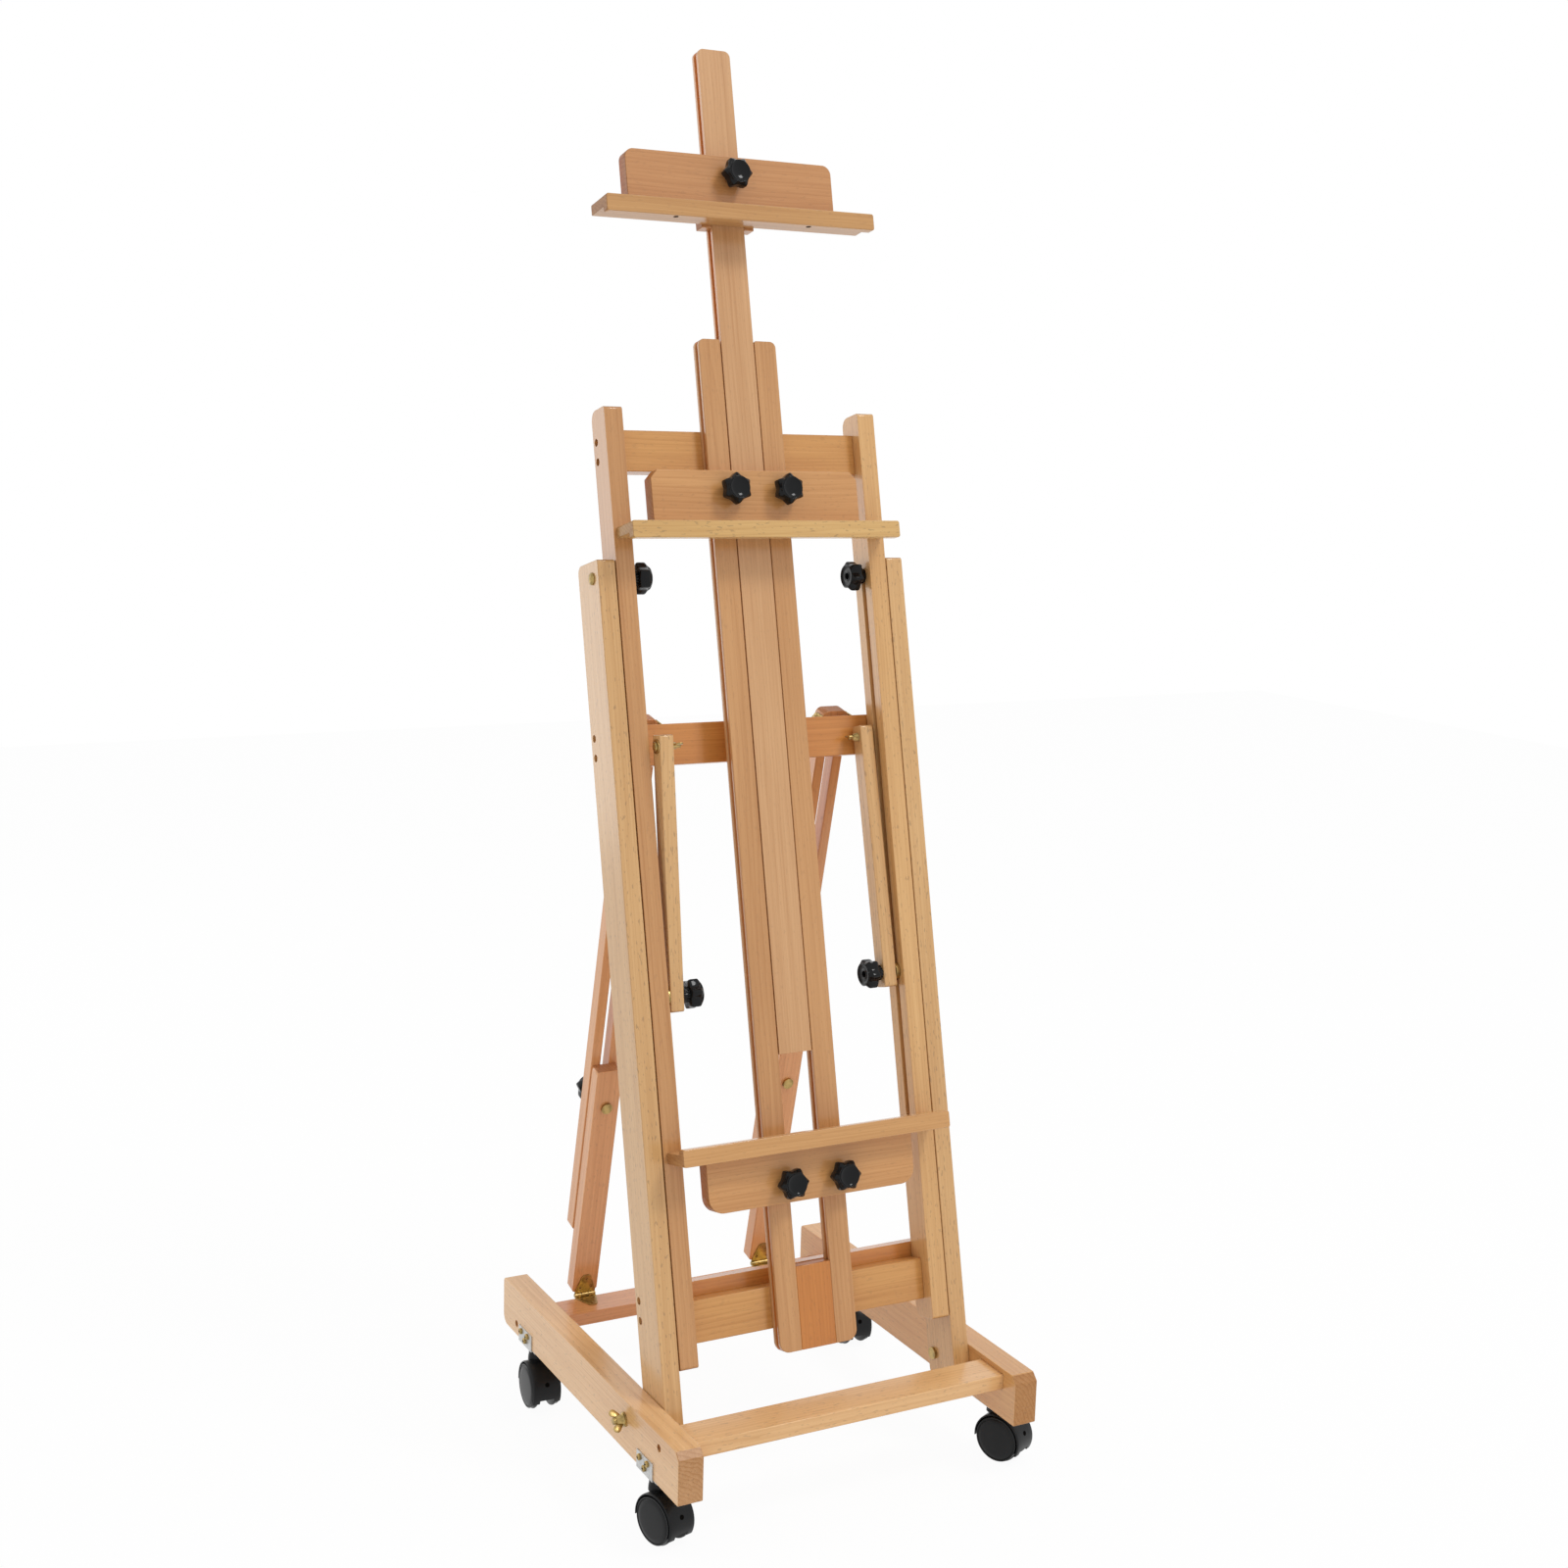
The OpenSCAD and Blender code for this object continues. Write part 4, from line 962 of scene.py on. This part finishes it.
class EASEL_OT_tilt_bolts(bpy.types.Operator):
    """Round-headed bolts that the inner frame tilts on"""

    bl_idname = "easel.tilt_bolts"
    bl_label = "Tilt bolts"

    def execute(self, context):
        shape = bmesh.new()
        for points in islands("tilt_bolts"):
            outward = EAST if middle(points).x > 0 else -EAST
            near, far = reach(points, outward)
            line = Vector((0, *JOINTS["inner_frame_tilt"]["pos_m"][1:]))
            place = at_reach(line, outward, far - TILT_HEAD_RISE / 1000)
            shank = (far - near) * 1000 - TILT_HEAD_RISE
            bolt(shape, place, outward, BOLT_R, shank, TILT_HEAD_R, TILT_HEAD_RISE)
        piece_from(shape, "tilt_bolt_pair", BODY_OF["tilt_bolts"], "aged_brass", ("tilt_bolts",), 34)
        return {"FINISHED"}


def base_wing_nut(node, outward):
    """A wing nut and its washer on a pivot bolt of the base."""
    line = Vector(JOINTS[node + "_spin"]["pos_m"])
    seat = reach(corners(node), outward)[0]
    shape = bmesh.new()
    washer(shape, at_reach(line, outward, seat), outward)
    wing_nut(shape, at_reach(line, outward, seat + WASHER_RISE / 1000), outward, BOLT_R, 14.6, 15.4, 35)
    piece_from(shape, node + "_wings", BODY_OF[node], "aged_brass", (node,), 34)


def arm_wing_nut(node, outward):
    """A wing nut, its bolt and its washer at the end of an arm."""
    line = Vector(JOINTS[node + "_spin"]["pos_m"])
    inward = -outward
    near, far = reach(corners(node), inward)
    seat = far - ARM_WING_TIP / 1000
    head_seat = -near - ARM_HEAD_RISE / 1000
    shank = (far - near) * 1000 - ARM_HEAD_RISE - 0.2
    shape = bmesh.new()
    wing_nut(shape, at_reach(line, inward, seat), inward, ARM_BOLT_R, 12.4, ARM_WING_TIP - 0.2, 80)
    washer(shape, at_reach(line, outward, head_seat - WASHER_RISE / 1000), outward)
    bolt(shape, at_reach(line, outward, head_seat), outward, ARM_BOLT_R, shank, ARM_HEAD_R, ARM_HEAD_RISE)
    piece_from(shape, node + "_wings", BODY_OF[node], "aged_brass", (node,), 34)


class EASEL_OT_wing_nuts(bpy.types.Operator):
    """Wing nuts on the base's pivot bolts and on the arms' end bolts"""

    bl_idname = "easel.wing_nuts"
    bl_label = "Wing nuts"

    def execute(self, context):
        for side, outward in (("left", -EAST), ("right", EAST)):
            base_wing_nut(side + "_base_wing_nut", outward)
            arm_wing_nut(side + "_arm_wing_nut", outward)
        return {"FINISHED"}


def domed_head(shape, place, outward, radius):
    """The domed top of a screw head."""
    dome = [(0, -0.2), (radius, -0.2), (radius, 0.1), (radius * 0.93, 0.5), (radius * 0.7, 0.9)]
    dome += [(radius * 0.35, 1.15), (0, 1.2)]
    join(shape, spun(dome, 24), axes_frame(place, outward, UP))


def cross_slot_shade(shape, place, outward, span, width):
    """Painted shade of the two cuts of a cross-head screw: dark bars sunk in its head."""
    for degrees in (20, 110):
        bar = bmesh.new()
        bmesh.ops.create_cube(bar, size=1.0)
        bmesh.ops.scale(bar, vec=(span / 1000, width / 1000, SCREW_SLOT_DEPTH / 1000), verts=bar.verts)
        join(shape, bar, axes_frame(place, outward, UP) @ Matrix.Rotation(math.radians(degrees), 4, "Z"))


def base_screws():
    """The faces of the screws in the runners, each with its outward way and its width in millimetres."""
    screws = []
    for points in islands("base_fittings"):
        spans = [reach(points, way) for way in (EAST, NORTH, UP)]
        length, width = (high - low for low, high in spans[:2])
        if length * 1000 < SHORTEST_SCREW or width * 1000 > WIDEST_SCREW:
            continue
        x, y, z = (sum(span) / 2 for span in spans)
        outward = EAST if x > 0 else -EAST
        face = at_reach(Vector((x, y, z)), outward, reach(points, outward)[1])
        screws.append((face, outward, width * 1000))
    return screws


class EASEL_OT_fittings(bpy.types.Operator):
    """Screws, hinges, ears, slot bolts and caster plates"""

    bl_idname = "easel.fittings"
    bl_label = "Fittings"

    def execute(self, context):
        metal("base_fittings")
        metal("outer_frame_fittings")
        metal("inner_frame_screws")
        metal("caster_plates", "zinc")
        for side in ("left", "right"):
            metal(side + "_arm_slider")
            metal(side + "_leg_fittings")
        heads = bmesh.new()
        slot_shade = bmesh.new()
        for face, outward, width in base_screws():
            domed_head(heads, face, outward, width * 0.5)
            slot_middle = face + outward * SCREW_SLOT_DEPTH / 2000
            cross_slot_shade(slot_shade, slot_middle, outward, width * 0.52, width * 0.13)
        piece_from(heads, "screw_heads", BODY_OF["base_fittings"], "aged_brass")
        # dark bars of painted shade in the screws' cross slots
        piece_from(slot_shade, "screw_slot_shade", BODY_OF["base_fittings"], "gap_shadow")
        return {"FINISHED"}


# ---- boards ----


class EASEL_OT_base_boards(bpy.types.Operator):
    """Runners and cross bars of the base"""

    bl_idname = "easel.base_boards"
    bl_label = "Base boards"

    def execute(self, context):
        board("left_runner", NORTH, EAST, 1, BLEACHED)
        board("right_runner", NORTH, EAST, 2, WARM)
        board("front_cross_bar", EAST, UP, 3, BLEACHED)
        board("rear_cross_bar", EAST, UP, 4, REDDISH)
        return {"FINISHED"}


class EASEL_OT_outer_frame_boards(bpy.types.Operator):
    """Posts and bars of the outer frame"""

    bl_idname = "easel.outer_frame_boards"
    bl_label = "Outer frame boards"

    def execute(self, context):
        board("left_outer_post", POST_UP, POST_BACK, 5, PALE)
        board("right_outer_post", POST_UP, POST_BACK, 6, PALE)
        board("outer_upper_bar", EAST, POST_BACK, 7, RUSTY)
        board("outer_lower_bar", EAST, POST_BACK, 8, RUSTY)
        return {"FINISHED"}


class EASEL_OT_inner_frame_boards(bpy.types.Operator):
    """Posts, bars and rails of the inner frame"""

    bl_idname = "easel.inner_frame_boards"
    bl_label = "Inner frame boards"

    def execute(self, context):
        board("left_inner_post", POST_UP, POST_BACK, 9, DEEP)
        board("right_inner_post", POST_UP, POST_BACK, 10, SANDY)
        board("inner_upper_bar", EAST, POST_BACK, 11, ORANGE)
        board("inner_lower_bar", EAST, POST_BACK, 12, ORANGE)
        board("left_rail", POST_UP, POST_BACK, 13, DEEP)
        board("right_rail", POST_UP, POST_BACK, 14, DEEP)
        board("rail_foot_block", POST_UP, POST_BACK, 15, TAN)
        return {"FINISHED"}


class EASEL_OT_mast_board(bpy.types.Operator):
    """The mast"""

    bl_idname = "easel.mast_board"
    bl_label = "Mast"

    def execute(self, context):
        board("mast", POST_UP, POST_BACK, 16, PINK)
        return {"FINISHED"}


def pin_hole_shade(node):
    """Painted shade of the two holes under the top ledge: dark discs on its underside."""
    points = corners(node)
    front = reach(points, POST_BACK)[0] + PIN_HOLE_INSET / 1000
    under = POST_UP * reach(points, POST_UP)[0] + POST_BACK * front
    holes = bmesh.new()
    for side in (-EAST, EAST):
        place = under + side * PIN_HOLE_X / 1000
        join(holes, shade_disc(PIN_HOLE_R, 0.3, 0.06), axes_frame(place, -POST_UP, EAST))
    piece_from(holes, "top_ledge_pin_hole_shade", BODY_OF[node], "hole_shadow")


class EASEL_OT_holder_boards(bpy.types.Operator):
    """Plates and ledges of the three holders"""

    bl_idname = "easel.holder_boards"
    bl_label = "Holder boards"

    def execute(self, context):
        tints = (("top", CHESTNUT, DARK_HONEY), ("middle", BROWN, STRAW), ("bottom", BROWN, HONEY))
        for seed, (holder, plate_tint, ledge_tint) in enumerate(tints, 17):
            board(holder + "_holder_plate", EAST, POST_BACK, seed, plate_tint)
            board(holder + "_holder_ledge", EAST, POST_BACK, seed + 3, ledge_tint, LEDGE_RECESS_SHADE)
        # dark discs of painted shade where the pin holes are
        pin_hole_shade("top_holder_ledge")
        return {"FINISHED"}


class EASEL_OT_arm_boards(bpy.types.Operator):
    """The two side arms"""

    bl_idname = "easel.arm_boards"
    bl_label = "Side arms"

    def execute(self, context):
        for seed, side in enumerate(("left", "right"), 24):
            low = Vector(JOINTS[side + "_arm_swing"]["pos_m"])
            high = Vector(JOINTS[side + "_arm_wing_nut_spin"]["pos_m"])
            along = (high - low).normalized()
            board(side + "_arm", along, along.cross(EAST), seed, PALE)
        return {"FINISHED"}


class EASEL_OT_leg_boards(bpy.types.Operator):
    """Lower and upper boards of the rear legs"""

    bl_idname = "easel.leg_boards"
    bl_label = "Rear legs"

    def execute(self, context):
        for seed, side in enumerate(("left", "right"), 27):
            board(side + "_lower_leg", LEG_UP, LEG_BACK, seed, ROSY)
            board(side + "_upper_leg", LEG_UP, LEG_BACK, seed + 3, ROSY)
        return {"FINISHED"}


# ---- the studio ----


def camera_frame(stage):
    """Where the camera stands and how it is turned."""
    azimuth = stage.camera_azimuth
    elevation = stage.camera_elevation
    roll = stage.camera_roll
    back = Vector(
        (
            math.sin(azimuth) * math.cos(elevation),
            -math.cos(azimuth) * math.cos(elevation),
            math.sin(elevation),
        )
    )
    level = Vector((math.cos(azimuth), math.sin(azimuth), 0))
    rise = back.cross(level)
    right = level * math.cos(roll) + rise * math.sin(roll)
    top = rise * math.cos(roll) - level * math.sin(roll)
    turn = Matrix((right, top, back)).transposed().to_4x4()
    return Matrix.Translation(Vector(stage.camera_place)) @ turn


def lamp(name, place, target, size, power):
    """A large soft lamp that looks at target."""
    data = bpy.data.lights.new(name, "AREA")
    data.shape = "RECTANGLE"
    data.size, data.size_y = size
    data.energy = power
    light = bpy.data.objects.new(name, data)
    light.location = place
    light.rotation_euler = (Vector(target) - Vector(place)).to_track_quat("-Z", "Y").to_euler()
    bpy.context.scene.collection.objects.link(light)


def floor_finish(stage):
    """A pale floor that the camera sees as nearly white, with the easel's shadow left on it."""
    finish = Finish(bpy.data.materials.new("studio_floor"))
    finish.set(Base_Color=opaque(stage.floor_colour), Roughness=0.9, Specular_IOR_Level=0.0)
    glow = finish.add("ShaderNodeEmission", {}, {"Color": opaque(WHITE), "Strength": 1.0})
    lit = Wire(finish, finish.shader.outputs[0])
    mixed = finish.add("ShaderNodeMixShader", {}, {0: finish.seen() * stage.floor_glow, 1: lit, 2: glow})
    finish.feed(finish.nodes["Material Output"].inputs["Surface"], mixed)
    return finish.owner


def white_surroundings(stage):
    """A world that is seen as white and lights the easel more softly."""
    finish = Finish(bpy.data.worlds.new("studio_surroundings"), "Background")
    finish.set(Color=opaque(WHITE), Strength=stage.ambient)
    around = Wire(finish, finish.shader.outputs[0])
    backdrop = finish.add("ShaderNodeBackground", {}, {"Color": opaque(WHITE), "Strength": 1.0})
    mixed = finish.add("ShaderNodeMixShader", {}, {0: finish.seen(), 1: around, 2: backdrop})
    finish.feed(finish.nodes["World Output"].inputs["Surface"], mixed)
    return finish.owner


def studio_floor(stage):
    """The floor that the easel stands on."""
    shape = bmesh.new()
    bmesh.ops.create_grid(shape, x_segments=1, y_segments=1, size=6.0)
    mesh = bpy.data.meshes.new("studio_floor")
    shape.to_mesh(mesh)
    shape.free()
    mesh.materials.append(floor_finish(stage))
    floor = bpy.data.objects.new("studio_floor", mesh)
    bpy.context.scene.collection.objects.link(floor)


def studio_camera(stage):
    """The camera, set as the one to look through."""
    data = bpy.data.cameras.new("studio_camera")
    data.lens = stage.camera_lens
    data.sensor_width = 36.0
    data.clip_start = 0.05
    camera = bpy.data.objects.new("studio_camera", data)
    camera.matrix_world = camera_frame(stage)
    bpy.context.scene.collection.objects.link(camera)
    bpy.context.scene.camera = camera


class EASEL_OT_stage(bpy.types.Operator):
    """Floor, soft lamps, white surroundings and camera"""

    bl_idname = "easel.stage"
    bl_label = "Studio"

    def execute(self, context):
        stage = context.scene.easel_stage
        studio_floor(stage)
        lamp("key_lamp", *KEY_LAMP, stage.key_power)
        lamp("fill_lamp", *FILL_LAMP, stage.fill_power)
        context.scene.world = white_surroundings(stage)
        studio_camera(stage)
        context.scene.view_settings.view_transform = "Standard"
        return {"FINISHED"}


class EASEL_PT_panel(bpy.types.Panel):
    """Lists the easel's pieces and settings"""

    bl_idname = "EASEL_PT_panel"
    bl_label = "Studio easel"
    bl_space_type = "VIEW_3D"
    bl_region_type = "UI"
    bl_category = "Easel"

    def draw(self, context):
        layout = self.layout
        scene = context.scene
        for group in (scene.easel_wood, scene.easel_hardware, scene.easel_stage):
            column = layout.column(align=True)
            for name in group.bl_rna.properties.keys():
                if name not in {"rna_type", "name"}:
                    column.prop(group, name)
        for operator in OPERATORS:
            layout.operator(operator.bl_idname)


GROUPS = {
    "easel_wood": EaselWoodSettings,
    "easel_hardware": EaselHardwareSettings,
    "easel_stage": EaselStageSettings,
}
OPERATORS = (
    EASEL_OT_stage,
    EASEL_OT_base_boards,
    EASEL_OT_outer_frame_boards,
    EASEL_OT_inner_frame_boards,
    EASEL_OT_mast_board,
    EASEL_OT_holder_boards,
    EASEL_OT_arm_boards,
    EASEL_OT_leg_boards,
    EASEL_OT_star_knobs,
    EASEL_OT_casters,
    EASEL_OT_tilt_bolts,
    EASEL_OT_wing_nuts,
    EASEL_OT_fittings,
)


def register():
    """Adds the settings, operators and panel."""
    for cls in (*GROUPS.values(), *OPERATORS, EASEL_PT_panel):
        bpy.utils.register_class(cls)
    for name, group in GROUPS.items():
        setattr(bpy.types.Scene, name, bpy.props.PointerProperty(type=group))


def unregister():
    """Takes the settings, operators and panel away again."""
    for name in GROUPS:
        delattr(bpy.types.Scene, name)
    for cls in reversed((*GROUPS.values(), *OPERATORS, EASEL_PT_panel)):
        bpy.utils.unregister_class(cls)


def main():
    """Runs every operator."""
    register()
    for operator in OPERATORS:
        group, name = operator.bl_idname.split(".")
        getattr(getattr(bpy.ops, group), name)()


if __name__ == "__main__":
    main()
